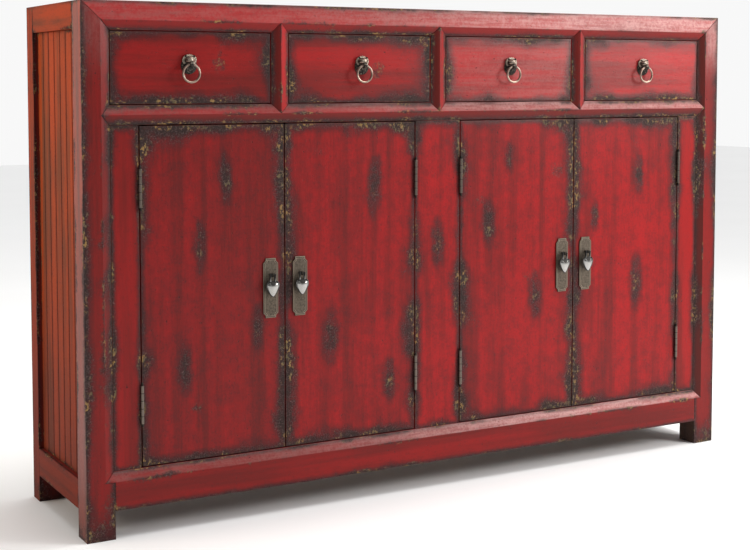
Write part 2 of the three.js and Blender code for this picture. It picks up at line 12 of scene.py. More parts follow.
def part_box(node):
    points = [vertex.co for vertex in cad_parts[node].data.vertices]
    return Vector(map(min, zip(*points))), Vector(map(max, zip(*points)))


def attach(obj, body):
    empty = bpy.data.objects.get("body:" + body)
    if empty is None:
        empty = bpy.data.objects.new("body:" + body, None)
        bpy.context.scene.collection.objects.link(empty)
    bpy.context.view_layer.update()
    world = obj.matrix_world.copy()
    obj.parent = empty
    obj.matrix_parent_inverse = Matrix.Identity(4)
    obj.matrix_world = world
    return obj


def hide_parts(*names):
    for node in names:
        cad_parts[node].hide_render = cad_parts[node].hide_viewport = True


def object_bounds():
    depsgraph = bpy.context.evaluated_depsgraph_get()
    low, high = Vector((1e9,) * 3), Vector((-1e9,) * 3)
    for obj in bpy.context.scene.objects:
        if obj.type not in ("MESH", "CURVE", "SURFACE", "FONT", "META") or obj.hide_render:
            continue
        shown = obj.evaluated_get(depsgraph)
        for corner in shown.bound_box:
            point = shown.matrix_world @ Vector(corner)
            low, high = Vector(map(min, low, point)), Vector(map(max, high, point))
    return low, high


bl_info = {
    "name": "Red Lacquered Sideboard",
    "version": (1, 0, 0),
    "blender": (4, 5, 0),
    "location": "View3D > Sidebar > Sideboard",
    "description": "Softened boards, worn lacquer, cast and brass fittings for a packed sideboard",
    "category": "Object",
}

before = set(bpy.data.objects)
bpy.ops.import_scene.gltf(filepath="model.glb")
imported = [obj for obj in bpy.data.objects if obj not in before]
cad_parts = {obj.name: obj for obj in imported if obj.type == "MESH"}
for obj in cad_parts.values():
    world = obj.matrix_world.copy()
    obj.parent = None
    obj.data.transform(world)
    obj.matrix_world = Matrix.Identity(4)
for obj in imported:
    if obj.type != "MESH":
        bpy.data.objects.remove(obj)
CAD_LOW, CAD_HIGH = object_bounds()

MM = 0.001
UP = Vector((0, 0, 1))
ACROSS = Vector((1, 0, 0))
BACKWARD = Vector((0, 1, 0))

NUMBERS = range(1, 5)
HINGE_PLACES = ("upper", "lower")

# Places that the wear is measured from. Rails and posts have a ridge or a bevel whose arris is rubbed.
MID_RAIL_LOW, MID_RAIL_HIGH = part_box("mid_rail_front")
RIDGE_HALF = (MID_RAIL_HIGH.z - MID_RAIL_LOW.z) / 2
RAIL_ARRISES = {
    "top_rail_front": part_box("top_rail_front")[0].z + RIDGE_HALF,
    "mid_rail_front": MID_RAIL_LOW.z + RIDGE_HALF,
    "bottom_rail_front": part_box("bottom_rail_front")[1].z - RIDGE_HALF,
}
POST_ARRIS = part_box("post_front_left")[1].x - RIDGE_HALF
END_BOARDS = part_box("door_4")[1].x + 1 * MM  # how far out the boards beyond the doors start


# ---- Sizes and colours that a user would change ----


def length(name, description, default, **limits):
    return bpy.props.FloatProperty(
        name=name, description=description, default=default, unit="LENGTH", **limits
    )


def power(name, description, default):
    return bpy.props.FloatProperty(name=name, description=description, default=default, unit="POWER")


def colour(name, description, default):
    return bpy.props.FloatVectorProperty(
        name=name, description=description, default=default, subtype="COLOR", size=3, min=0, max=1
    )


class WoodSettings(bpy.types.PropertyGroup):
    softness: length(
        "Edge softness", "Radius that every edge of the boards is rounded to", 0.8 * MM, min=0.2 * MM
    )
    grid: length("Wear grid", "Spacing of the cuts that carry the wear over a board", 11 * MM, min=4 * MM)
    door_wear: length("Door wear", "Width of the rubbed band round each door", 15 * MM)
    drawer_wear: length("Drawer wear", "Width of the rubbed band round each drawer front", 13 * MM)
    frame_wear: length("Frame wear", "Width of the rubbed band along posts, rails and stiles", 4.5 * MM)
    lacquer_red: colour("Lacquer red", "Colour of sound lacquer", (0.40, 0.009, 0.010))
    lacquer_deep: colour("Deep red", "Colour of the darker streaks in the lacquer", (0.20, 0.010, 0.009))
    side_red: colour("Side red", "Colour of the lacquer on the faded sides", (0.42, 0.060, 0.012))
    rubbed_brown: colour(
        "Rubbed brown", "Colour of the dark ground under rubbed lacquer", (0.022, 0.014, 0.012)
    )
    ochre: colour("Ochre", "Colour of the flecks of old primer", (0.31, 0.185, 0.062))
    bare_wood: colour("Bare wood", "Colour of the unfinished wood inside and behind", (0.23, 0.12, 0.055))


class MetalSettings(bpy.types.PropertyGroup):
    pin_radius: length("Plate pin", "Radius of the small pins that hold a door plate", 1.5 * MM)
    knuckles: bpy.props.IntProperty(
        name="Knuckles",
        description="Number of knuckles on one hinge barrel",
        default=5,
        min=3,
    )
    curls: bpy.props.IntProperty(
        name="Mane curls",
        description="Number of curls round a mask's head",
        default=13,
        min=5,
    )


class StageSettings(bpy.types.PropertyGroup):
    key_power: power("Key light", "Power of the soft light at the right front", 56)
    top_power: power("Top light", "Power of the wide light overhead", 50)
    side_power: power("Side light", "Power of the warm light on the left side", 30)
    lens: bpy.props.FloatProperty(
        name="Lens",
        description="Focal length of the camera in millimetres",
        default=67.81,
    )


# ---- Node trees ----


class Wire:
    """One output of a node. Arithmetic on it adds the nodes that it needs."""

    def __init__(self, tree, socket):
        self.tree = tree
        self.socket = socket

    def __add__(self, other):
        return self.tree.sum(self, other)

    def __radd__(self, other):
        return self.tree.sum(other, self)

    def __sub__(self, other):
        return self.tree.difference(self, other)

    def __rsub__(self, other):
        return self.tree.difference(other, self)

    def __mul__(self, other):
        return self.tree.product(self, other)

    def __rmul__(self, other):
        return self.tree.product(other, self)

    def __pow__(self, other):
        return self.tree.maths("POWER", self, other)


class Tree:
    """A node tree that is written with expressions."""

    def __init__(self, tree):
        self.tree = tree

    def add(self, kind, settings=None, inputs=None, output=0):
        """Adds one node. Settings come first, then the values or wires of its inputs."""
        node = self.tree.nodes.new(kind)
        for name, value in (settings or {}).items():
            setattr(node, name, value)
        for key, value in (inputs or {}).items():
            socket = node.inputs[key]
            if isinstance(value, Wire):
                self.tree.links.new(value.socket, socket)
            else:
                socket.default_value = value
        return Wire(self, node.outputs[output]) if len(node.outputs) else None

    def maths(self, operation, *values):
        return self.add("ShaderNodeMath", {"operation": operation}, dict(enumerate(values)))

    def sum(self, a, b):
        return self.maths("ADD", a, b)

    def difference(self, a, b):
        return self.maths("SUBTRACT", a, b)

    def product(self, a, b):
        return self.maths("MULTIPLY", a, b)

    def step(self, value, low, high):
        """0 under low, 1 over high, smooth between."""
        return self.add(
            "ShaderNodeMapRange",
            {"interpolation_type": "SMOOTHSTEP"},
            {"Value": value, "From Min": low, "From Max": high},
        )

    def blend(self, factor, a, b):
        """A colour between a and b."""
        inputs = {0: factor, 6: self.colour(a), 7: self.colour(b)}
        return self.add("ShaderNodeMix", {"data_type": "RGBA", "clamp_factor": True}, inputs, 2)

    @staticmethod
    def colour(value):
        return value if isinstance(value, Wire) else (*value, 1)

    def vector(self, operation, a, b, output=0):
        inputs = {0: a, "Scale": b} if operation == "SCALE" else {0: a, 1: b}
        return self.add("ShaderNodeVectorMath", {"operation": operation}, inputs, output)

    def noise(self, place, scale, detail=2.0, roughness=0.5):
        inputs = {"Vector": place, "Scale": scale, "Detail": detail, "Roughness": roughness}
        return self.add("ShaderNodeTexNoise", {}, inputs)

    def attribute(self, name, output="Fac"):
        return self.add("ShaderNodeAttribute", {"attribute_name": name}, {}, output)

    def place(self):
        return self.add("ShaderNodeTexCoord", {}, {}, "Object")

    def drawn_out(self, place, along, stretch):
        """The place, with distances along a direction made shorter, so that patterns stretch that way."""
        reach = self.vector("DOT_PRODUCT", place, along, "Value")
        return self.vector("SUBTRACT", place, self.vector("SCALE", along, reach * (1 - 1 / stretch)))


def new_material(name):
    material = bpy.data.materials.new(name)
    material.use_nodes = True
    material.node_tree.nodes.clear()
    return material, Tree(material.node_tree)


def finish_material(tree, bump_height, bump_distance, **inputs):
    """Ends a material in one Principled shader, with names of its inputs written with underscores."""
    sockets = {name.replace("_", " "): value for name, value in inputs.items()}
    if bump_height is not None:
        sockets["Normal"] = tree.add(
            "ShaderNodeBump", {}, {"Height": bump_height, "Distance": bump_distance, "Strength": 1.0}
        )
    shader = tree.add("ShaderNodeBsdfPrincipled", {}, sockets)
    tree.add("ShaderNodeOutputMaterial", {}, {"Surface": shader})


# ---- Finishes ----


def lacquer_material(wood, name, gloss, roughness):
    """Red lacquer with drawn-out streaks, rubbed through to a dark ground where rub says so."""
    material, tree = new_material(name)
    place = tree.place()
    grain = tree.attribute("grain", "Vector")
    rub = tree.attribute("rub")
    shade = tree.attribute("shade")
    side = tree.attribute("side")
    long_streak = tree.noise(tree.drawn_out(place, grain, 24), 38, 3)
    fine_streak = tree.noise(tree.drawn_out(place, grain, 14), 170, 3, 0.6)
    strokes = tree.noise(tree.drawn_out(place, grain, 4), 260, 3, 0.7)
    broad = tree.noise(place, 4.5, 2)
    coarse = tree.noise(place, 45, 4, 0.6)
    crumbs = tree.noise(place, 190, 4, 0.7)
    specks = tree.noise(tree.drawn_out(place, grain, 1.7), 230, 3, 0.6)
    clusters = tree.noise(place, 26, 2)

    # Sound lacquer: broad clouds, long streaks and small brush strokes.
    sound = tree.blend(side, tuple(wood.lacquer_red), tuple(wood.side_red))
    deep = tree.blend(side, tuple(wood.lacquer_deep), (0.17, 0.050, 0.020))
    depth = tree.step(long_streak * 0.75 + broad * 0.35 + fine_streak * 0.25, 0.55, 0.86)
    red = tree.blend(depth, sound, deep)
    mottle = tree.step(strokes * 0.6 + crumbs * 0.5, 0.50, 0.78)
    red = tree.blend(mottle * 0.42, red, tree.blend(side, (0.11, 0.012, 0.012), (0.13, 0.045, 0.022)))
    # Deeper tone on some boards, and painted shade: on slants that face left or down, on the left doors,
    # drawers and stile, on the lower rails, and low on the sides.
    red = tree.blend(tree.attribute("tone_and_shade"), red, (0.085, 0.011, 0.008))

    # The brown haze round the edges, broken up by the crumbs.
    haze = tree.step(shade + (crumbs - 0.5) * 0.5 + (coarse - 0.5) * 0.7, 0.05, 1.05)
    red = tree.blend(haze * (0.93 - side * 0.35), red, (0.030, 0.012, 0.013))

    # Painted sheen: a pale pink highlight, broken up by noise, as strong as the stored attribute says.
    sheen_breakup = tree.step(fine_streak * 0.5 + crumbs * 0.5 + coarse * 0.3, 0.50, 0.80)
    red = tree.blend(tree.attribute("painted_sheen") * (0.35 + sheen_breakup * 0.65), red, (0.58, 0.30, 0.28))
    brown = tree.blend(depth, (0.056, 0.028, 0.019), (0.024, 0.012, 0.009))
    red = tree.blend(tree.attribute("inside"), red, brown)

    # Rubbed through: a dark ground with grey and brown grains, red left in its hollows.
    worn = tree.step(rub + (crumbs - 0.5) * 0.9 + (coarse - 0.5) * 1.1, 0.26, 0.86)
    ground = tree.blend(tree.step(crumbs, 0.46, 0.72), tuple(wood.rubbed_brown), (0.055, 0.034, 0.034))
    colour = tree.blend(worn * 0.92, red, ground)
    bare = tree.step(rub + (coarse - 0.5) * 1.4, 0.34, 0.66) * tree.step(clusters, 0.46, 0.56)
    flecks = tree.step(specks, 0.52, 0.60) * bare
    gold = tree.blend(tree.step(coarse, 0.46, 0.58), tuple(wood.ochre), (0.13, 0.10, 0.050))
    colour = tree.blend(flecks * 0.9, colour, gold)

    # Fine crackle that catches light, and small dark pits.
    cells = tree.add(
        "ShaderNodeTexVoronoi", {"feature": "DISTANCE_TO_EDGE"}, {"Vector": place, "Scale": 210}, "Distance"
    )
    brittle = tree.step(rub + shade * 0.6 + (coarse - 0.5) * 1.2, 0.35, 0.9)
    crackle = (1 - tree.step(cells, 0.0, 0.07)) * brittle
    colour = tree.blend(crackle * tree.step(crumbs, 0.45, 0.62) * 0.6, colour, (0.24, 0.13, 0.115))
    pits = tree.step(specks, 0.34, 0.27)
    colour = tree.blend(pits * 0.75, colour, (0.018, 0.008, 0.007))
    height = long_streak * 0.4 + strokes * 0.5 - worn * 0.4 - pits * 0.6 + flecks * 0.3 + crackle * 0.4
    finish_material(
        tree,
        height,
        0.6 * MM,
        Base_Color=colour,
        Roughness=roughness + worn * 0.22 + crumbs * 0.14,
        Coat_Weight=0.03,
        Coat_Roughness=0.22,
        Specular_IOR_Level=gloss,
    )
    return material


def bare_wood_material(wood):
    """Old unfinished softwood, with growth rings drawn out along the grain."""
    material, tree = new_material("bare_old_wood")
    place = tree.place()
    shift = tree.vector("SCALE", (0.31, 0.17, 0.53), tree.attribute("board"))
    along = tree.drawn_out(tree.vector("ADD", place, shift), tree.attribute("grain", "Vector"), 22)
    rings = tree.noise(along, 55, 4, 0.6)
    fibre = tree.noise(along, 420, 2)
    dirt = tree.noise(place, 6, 3)
    light = tuple(wood.bare_wood)
    dark = tuple(channel * 0.42 for channel in light)
    colour = tree.blend(tree.step(rings * 0.8 + fibre * 0.25, 0.38, 0.70), light, dark)
    colour = tree.blend(tree.step(dirt, 0.45, 0.75) * 0.6, colour, (0.05, 0.032, 0.020))
    finish_material(
        tree, rings * 0.6 + fibre * 0.4, 0.4 * MM, Base_Color=colour, Roughness=0.62 + fibre * 0.25
    )
    return material


def metal_material(name, bright, dark, roughness, patina_scale, unevenness):
    """A metal whose hollows hold dark patina, and which on some pieces carries painted shade. The hollow
    attribute says how dark each point is, from 0 to 1.
    """
    material, tree = new_material(name)
    place = tree.place()
    # The stored attribute holds patina in hollows, and on the ring, the staple and the drop pulls painted
    # shade as well.
    hollow = tree.attribute("hollow")
    cloud = tree.noise(place, patina_scale, 4, 0.6)
    grit = tree.noise(place, patina_scale * 6, 2)
    patina = tree.step(hollow + (cloud - 0.5) * unevenness, 0.25, 0.80)
    finish_material(
        tree,
        cloud * 0.5 + grit * 0.5,
        0.12 * MM,
        Base_Color=tree.blend(patina, bright, dark),
        Metallic=1 - patina * 0.35,
        Roughness=roughness + patina * 0.28 + grit * 0.08,
    )
    return material


def floor_material():
    material, tree = new_material("pale_floor")
    mottle = tree.noise(tree.place(), 1.5, 2)
    finish_material(
        tree, None, 0, Base_Color=tree.blend(mottle, (0.86, 0.86, 0.86), (0.90, 0.90, 0.90)), Roughness=0.85
    )
    return material


# Each lacquer: its material's name, gloss and roughness.
LACQUERS = {
    "lacquer": ("worn_red_lacquer", 0.16, 0.30),
    "dull_lacquer": ("dull_red_lacquer", 0.04, 0.58),
}

# Each metal: its material's name, bright colour, colour of patina and painted shade, roughness, patina scale
# and unevenness.
METALS = {
    "bronze": ("dark_bronze", (0.42, 0.35, 0.28), (0.014, 0.011, 0.009), 0.30, 320, 1.0),
    "ring": ("pale_ring", (0.34, 0.25, 0.20), (0.07, 0.05, 0.04), 0.26, 260, 0.7),
    "plate": ("aged_plate", (0.22, 0.175, 0.135), (0.026, 0.021, 0.015), 0.40, 260, 0.45),
    "pewter": ("white_metal", (0.36, 0.35, 0.335), (0.020, 0.018, 0.016), 0.16, 200, 0.5),
    "hinge": ("hinge_metal", (0.15, 0.125, 0.105), (0.022, 0.018, 0.014), 0.26, 260, 0.8),
}

FINISHES = {}


def finish(name):
    """A finish by its name, made the first time that it is asked for."""
    if name not in FINISHES:
        wood = bpy.context.scene.sideboard_wood
        if name in METALS:
            FINISHES[name] = metal_material(*METALS[name])
        elif name in LACQUERS:
            FINISHES[name] = lacquer_material(wood, *LACQUERS[name])
        else:
            FINISHES[name] = bare_wood_material(wood)
    return FINISHES[name]


# ---- Meshes ----


def new_object(name, data):
    """A new object in the scene."""
    made = bpy.data.objects.new(name, data)
    bpy.context.scene.collection.objects.link(made)
    return made


def object_from(name, mesh, material, body, slot, *nodes):
    """A finished piece: its material, the body it moves with, and the solids that it stands for."""
    mesh.materials.clear()
    mesh.materials.append(finish(material))
    piece = new_object(name, mesh)
    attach(piece, body)
    if nodes:
        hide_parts(*nodes)
    return piece


def mesh_from(shape, name, smooth=True):
    bmesh.ops.remove_doubles(shape, verts=shape.verts, dist=0.005 * MM)
    bmesh.ops.recalc_face_normals(shape, faces=shape.faces)
    mesh = bpy.data.meshes.new(name)
    shape.to_mesh(mesh)
    shape.free()
    mesh.polygons.foreach_set("use_smooth", [smooth] * len(mesh.polygons))
    return mesh


def set_attribute(mesh, name, kind, values):
    """Stores one value for each vertex, or the same one for all of them."""
    attribute = mesh.attributes.new(name, kind, "POINT")
    count = len(mesh.vertices)
    if kind == "FLOAT_VECTOR":
        attribute.data.foreach_set("vector", list(values) * count)
    else:
        every = [values] * count if isinstance(values, (int, float)) else values
        attribute.data.foreach_set("value", every)


def number_boards(mesh, axis, start, width):
    """Numbers the boards that lie side by side in a mesh, so that each has a grain of its own."""
    attribute = mesh.attributes.new("board", "FLOAT", "FACE")
    boards = [math.floor((polygon.center[axis] - start) / width) for polygon in mesh.polygons]
    attribute.data.foreach_set("value", boards)


def smooth_step(value, low, high):
    share = min(1, max(0, (value - low) / (high - low)))
    return share * share * (3 - 2 * share)


def softened(node, softness):
    """The solid of a node as a shape with flat faces joined and every edge rounded."""
    shape = bmesh.new()
    shape.from_mesh(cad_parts[node].data)
    bmesh.ops.remove_doubles(shape, verts=shape.verts, dist=0.01 * MM)
    flat = math.radians(0.5)
    bmesh.ops.dissolve_limit(shape, angle_limit=flat, verts=shape.verts, edges=shape.edges, delimit=set())
    bmesh.ops.remove_doubles(shape, verts=shape.verts, dist=softness * 1.1)
    bmesh.ops.bevel(
        shape,
        geom=list(shape.edges),
        offset=softness,
        offset_type="OFFSET",
        segments=2,
        profile=0.5,
        affect="EDGES",
        clamp_overlap=True,
    )
    return shape


def cut_to_grid(shape, low, high, step):
    """Cuts the shape by planes across all three axes, so that its wear can change from place to place."""
    for axis, direction in enumerate((ACROSS, BACKWARD, UP)):
        count = max(1, round((high[axis] - low[axis]) / step))
        for i in range(1, count):
            at = Vector((0, 0, 0))
            at[axis] = low[axis] + (high[axis] - low[axis]) * i / count
            everything = [*shape.verts, *shape.edges, *shape.faces]
            bmesh.ops.bisect_plane(shape, geom=everything, dist=0.05 * MM, plane_co=at, plane_no=direction)


# Painted shade on each door and drawer front, darkest at the left and none at the right, and painted sheen on
# the drawer fronts.
DOOR_PAINTED_SHADES = (0.38, 0.14, 0.08, 0.0)
DRAWER_PAINTED_SHADES = (0.44, 0.20, 0.0, 0.0)
DRAWER_PAINTED_SHEENS = (0.0, 0.06, 0.22, 0.09)

# Spots where a door or stile is worn through: the share of its width from the left, the share of its height
# from the top, and half the spot's width and length in millimetres.
WORN_SPOTS = {
    "door_1": ((0.58, 0.16, 9, 48), (0.40, 0.36, 9, 44), (0.29, 0.72, 10, 52), (0.80, 0.62, 9, 42)),
    "door_2": ((0.68, 0.20, 12, 56), (0.34, 0.67, 12, 56), (0.80, 0.83, 11, 40)),
    "stile_centre": ((0.50, 0.40, 11, 46),),
    "door_3": ((0.42, 0.12, 8, 30), (0.24, 0.34, 12, 48), (0.66, 0.60, 12, 48)),
    "door_4": ((0.20, 0.34, 8, 34), (0.62, 0.20, 10, 46), (0.60, 0.58, 12, 58)),
}


def spot_wear(point, low, high, spots):
    """How far inside a worn spot this point of a door's face is, from 0 to 1."""
    most = 0
    for from_left, from_top, half_width, half_length in spots:
        x = low.x + (high.x - low.x) * from_left
        z = high.z - (high.z - low.z) * from_top
        lean = 0.12 * noise.noise(Vector((x * 9, z * 9, 3))) * (point.z - z)
        across = (point.x - x - lean) / (half_width * 1.9 * MM)
        along = (point.z - z) / (half_length * 1.4 * MM)
        most = max(most, 1 - math.hypot(across, along))
    return most


def edge_distance(point, normal, low, high):
    """Distance to the nearest edge of the face that the point is on."""
    nearest = 1
    for axis in range(3):
        if abs(normal[axis]) < 0.7:
            nearest = min(nearest, point[axis] - low[axis], high[axis] - point[axis])
    return max(0, nearest)


ARRIS_REACH = 9 * MM  # how far from a rubbed arris its wear reaches
KICK_HEIGHTS = (5 * MM, 90 * MM)  # between which the wear by feet and brooms fades out
BATTENS_BEHIND = 20.5 * MM  # how far behind a door's face its battens start

# How squarely a face looks along a direction, as a part of its normal: from where a rule for such faces
# starts to where it holds in full, for faces that look forwards, faces square to an axis, and slants.
FACING = (0.3, 0.6)
SQUARE_ON = (0.5, 0.9)
SLANTED = (0.12, 0.38)


def rubbing(point, normal, low, high, band, arrises, spots, grooves):
    """How far a point is rubbed through, and how far the brown shade round the edges reaches it."""
    wobble = noise.noise(point * 7) + 0.7 * noise.noise(point * 19 + Vector((4, 4, 4)))
    use = 0.34 + 0.55 * smooth_step(wobble, -0.45, 0.35)
    distance = edge_distance(point, normal, low, high)
    rub = use * (1 - smooth_step(distance, 0, band * max(0.5, 1.3 + 2.2 * wobble)))
    shade = 1 - smooth_step(distance, 0, band * max(0.9, 2.6 + 3.2 * wobble))
    fresh = smooth_step(noise.noise(point * 13 + Vector((5, 0, 9))), 0.0, 0.35)
    front = smooth_step(-normal.y, *FACING)
    for axis, place, reach in arrises:
        near = front * (1 - smooth_step(abs(point[axis] - place), 0, reach * (1 + 0.5 * wobble)))
        rub = max(rub, (0.30 + 0.45 * fresh) * near)
        shade = max(shade, near * smooth_step(reach, ARRIS_REACH, 20 * MM))
    for axis, place in grooves:
        near = 1 - smooth_step(abs(point[axis] - place), 1 * MM, 8 * MM)
        rub = max(rub, 0.14 * near)
        shade = max(shade, 1.5 * near)
    if spots and normal.y < -0.5:
        worn = spot_wear(point, low, high, spots)
        rub = max(rub, 0.66 * smooth_step(worn, 0.05, 0.85))
        shade = max(shade, 0.85 * smooth_step(worn, -0.45, 0.5))
    kicked = 1 - smooth_step(point.z, *KICK_HEIGHTS)
    rub = max(rub, 0.5 * kicked * smooth_step(wobble, -0.4, 0.4))
    shade = max(shade, 0.85 * kicked)
    stray = smooth_step(noise.noise(point * 17 + Vector((2, 7, 1))), 0.40, 0.75)
    return max(rub, stray * 0.5), shade * (1 - 0.6 * smooth_step(abs(normal.x), *SQUARE_ON))


def colouring(point, normal, behind, side, tone_and_shade, painted_sheen, painted_sheen_from):
    """How brown a point is, how faded, how deep its lacquer and its painted shade, and its painted sheen.
    Painted shade darkens slants that face left or down, and the outward faces of the end boards towards the
    bottom. A painted sheen, stronger towards the right and above a given height, is strongest on slants that
    face up. Backs of boards, and the faces of the end boards that look inwards, are brown."""
    front = smooth_step(-normal.y, *FACING)
    inward = -normal.x * math.copysign(1, point.x) if abs(point.x) > END_BOARDS else 0
    inside = max(smooth_step(normal.y, *SQUARE_ON), smooth_step(inward, *SQUARE_ON), behind)
    outward = smooth_step(-inward, *SQUARE_ON)
    # Painted shade: the outward faces of the end boards darken towards the bottom.
    aged = 0.55 * (1 - smooth_step(point.z, 0.1, 0.8))
    faced_left = smooth_step(-normal.x, *SLANTED) * front
    faced_down = smooth_step(-normal.z, *SLANTED) * front
    faced_up = smooth_step(normal.z, *SLANTED) * front
    # Painted shade on slants that face left or down, and low on the outward faces of the end boards.
    deep = tone_and_shade * (1 - 0.8 * outward) + aged * outward + 0.85 * faced_left + 0.42 * faced_down
    # Painted sheen: stronger towards the right and above a given height, and on slants that face up, but not
    # on slants that face left or down.
    sheen_reach = 0.25 + 0.75 * smooth_step(point.x, -0.5, 0.5)
    sheen_reach *= smooth_step(point.z, painted_sheen_from, painted_sheen_from + 0.12)
    sheen_share = sheen_reach * max(painted_sheen, 0.75 * faced_up) * front * (1 - faced_left) * (1 - faced_down)
    return inside, max(side, 0.85 * outward), min(1, deep), sheen_share


def paint_wear(mesh, low, high, band, arrises, spots, grooves, side, tone_and_shade, painted_sheen, painted_sheen_from):
    """Stores on each point of a board what the lacquer is steered by."""
    has_battens = band == bpy.context.scene.sideboard_wood.door_wear
    rows = []
    for vertex in mesh.vertices:
        point, normal = vertex.co, vertex.normal
        depth = point.y - low.y - BATTENS_BEHIND
        behind = smooth_step(depth, 0, 0.5 * MM) if has_battens else 0
        row = rubbing(point, normal, low, high, band, arrises, spots, grooves)
        rows.append(row + colouring(point, normal, behind, side, tone_and_shade, painted_sheen, painted_sheen_from))
    for name, values in zip(("rub", "shade", "inside", "side", "tone_and_shade", "painted_sheen"), zip(*rows)):
        set_attribute(mesh, name, "FLOAT", values)


def finish_grain(mesh, grain):
    """Stores the direction of the grain, and softens the shading."""
    set_attribute(mesh, "grain", "FLOAT_VECTOR", grain)
    soften_shading(mesh)


def soften_shading(mesh):
    """Lets the large faces keep their own shading, so that only the rounded edges catch the light."""
    totals = [Vector((0, 0, 0)) for _ in mesh.vertices]
    for polygon in mesh.polygons:
        for index in polygon.vertices:
            totals[index] += polygon.normal * polygon.area
    mesh.normals_split_custom_set_from_vertices([total.normalized() for total in totals])


def lacquered_board(
    node,
    body,
    band,
    grain,
    arrises=(),
    spots=(),
    grooves=(),
    side=0.0,
    tone_and_shade=0.0,
    painted_sheen=0.0,
    painted_sheen_from=-0.2,
    material="lacquer",
):
    """A lacquered board in place of a node's solid."""
    wood = bpy.context.scene.sideboard_wood
    low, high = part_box(node)
    shape = softened(node, wood.softness)
    cut_to_grid(shape, low, high, wood.grid)
    mesh = mesh_from(shape, node + "_board")
    paint_wear(mesh, low, high, band, arrises, spots, grooves, side, tone_and_shade, painted_sheen, painted_sheen_from)
    finish_grain(mesh, grain)
    if side:
        material = "dull_lacquer"
    return object_from(node + "_board", mesh, material, body, "red_lacquer", node)


def bare_board(node, body, grain):
    """A bare board in place of a node's solid."""
    wood = bpy.context.scene.sideboard_wood
    mesh = mesh_from(softened(node, wood.softness * 0.6), node + "_board")
    finish_grain(mesh, grain)
    return object_from(node + "_board", mesh, "bare_wood", body, "bare_wood", node)


def block_shape(low, high, softness):
    """A block between two corners, with its edges rounded."""
    shape = bmesh.new()
    bmesh.ops.create_cube(shape, size=1)
    size = high - low
    bmesh.ops.transform(
        shape, matrix=Matrix.Translation((low + high) / 2) @ Matrix.Diagonal((*size, 1)), verts=shape.verts
    )
    bmesh.ops.bevel(shape, geom=list(shape.edges), offset=softness, segments=2, profile=0.5, affect="EDGES")
    return shape


def joined(shapes):
    """Several shapes in one."""
    whole = bmesh.new()
    for shape in shapes:
        part = bpy.data.meshes.new("part")
        shape.to_mesh(part)
        shape.free()
        whole.from_mesh(part)
        bpy.data.meshes.remove(part)
    return whole


def turned(profile, turns, axis, closed=False):
    """Points of [radius, height] turned round an axis. The line ends on the axis, or is closed as a loop."""
    shape = bmesh.new()
    rows = []
    for radius, height in profile:
        if radius < 1e-7:
            rows.append([shape.verts.new((0, 0, height))])
            continue
        angles = [2 * math.pi * i / turns for i in range(turns)]
        rows.append([shape.verts.new((radius * math.cos(a), radius * math.sin(a), height)) for a in angles])
    pairs = list(zip(rows, rows[1:]))
    if closed:
        pairs.append((rows[-1], rows[0]))
    for lower, upper in pairs:
        for i in range(turns):
            corners = [lower[i % len(lower)], lower[(i + 1) % len(lower)]]
            corners += [upper[(i + 1) % len(upper)], upper[i % len(upper)]]
            corners = list(dict.fromkeys(corners))
            if len(corners) > 2:
                shape.faces.new(corners)
    turn = {
        "X": Matrix.Rotation(math.pi / 2, 4, "Y"),
        "Y": Matrix.Rotation(-math.pi / 2, 4, "X"),
        "Z": Matrix.Identity(4),
    }
    bmesh.ops.transform(shape, matrix=turn[axis], verts=shape.verts)
    return shape


def ring_shape(radius, wire, axis, turns=72, sides=16):
    """A ring of round wire about an axis."""
    angles = [2 * math.pi * i / sides for i in range(sides)]
    profile = [(radius + wire * math.cos(a), wire * math.sin(a)) for a in angles]
    return turned(profile, turns, axis, closed=True)


def rod_shape(radius, half_length, axis, dome):
    """A rod about an axis, with a dome of this height at each end."""
    steps = 5
    angles = [math.pi / 2 * i / steps for i in range(steps + 1)]
    end = [(radius * math.cos(a), half_length - dome + dome * math.sin(a)) for a in angles]
    profile = [(r, -h) for r, h in reversed(end)] + end
    profile[0] = (0, -half_length)
    profile[-1] = (0, half_length)
    return turned(profile, 20, axis)


def moved(shape, offset):
    bmesh.ops.translate(shape, verts=shape.verts, vec=offset)
    return shape


# ---- Geometry node trees ----


def new_geometry_tree(name, inputs):
    """A geometry tree with named inputs, given as name, kind and default."""
    group = bpy.data.node_groups.new(name, "GeometryNodeTree")
    group.interface.new_socket(name="Geometry", in_out="OUTPUT", socket_type="NodeSocketGeometry")
    for label, kind, default in inputs:
        socket = group.interface.new_socket(name=label, in_out="INPUT", socket_type=kind)
        if default is not None:
            socket.default_value = default
    tree = Tree(group)
    entry = group.nodes.new("NodeGroupInput")
    wires = {label: Wire(tree, entry.outputs[label]) for label, _, _ in inputs}
    return group, tree, wires


def finish_geometry_tree(group, tree, geometry, material):
    real = tree.add("GeometryNodeRealizeInstances", {}, {0: geometry})
    painted = tree.add("GeometryNodeSetMaterial", {}, {"Geometry": real, "Material": material})
    tree.add("NodeGroupOutput", {}, {0: painted})
    return group


def grown(name, group, settings, softness=0.0):
    """Runs a geometry tree with these inputs and returns the mesh that it makes."""
    holder = new_object(name, bpy.data.meshes.new(name))
    modifier = holder.modifiers.new("grow", "NODES")
    modifier.node_group = group
    for item in group.interface.items_tree:
        if item.in_out == "INPUT" and item.name in settings:
            modifier[item.identifier] = settings[item.name]
    if softness:
        bevel = holder.modifiers.new("soften", "BEVEL")
        bevel.width = softness
        bevel.segments = 2
    graph = bpy.context.evaluated_depsgraph_get()
    mesh = bpy.data.meshes.new_from_object(holder.evaluated_get(graph))
    holder.modifiers.clear()
    bpy.data.objects.remove(holder)
    return mesh


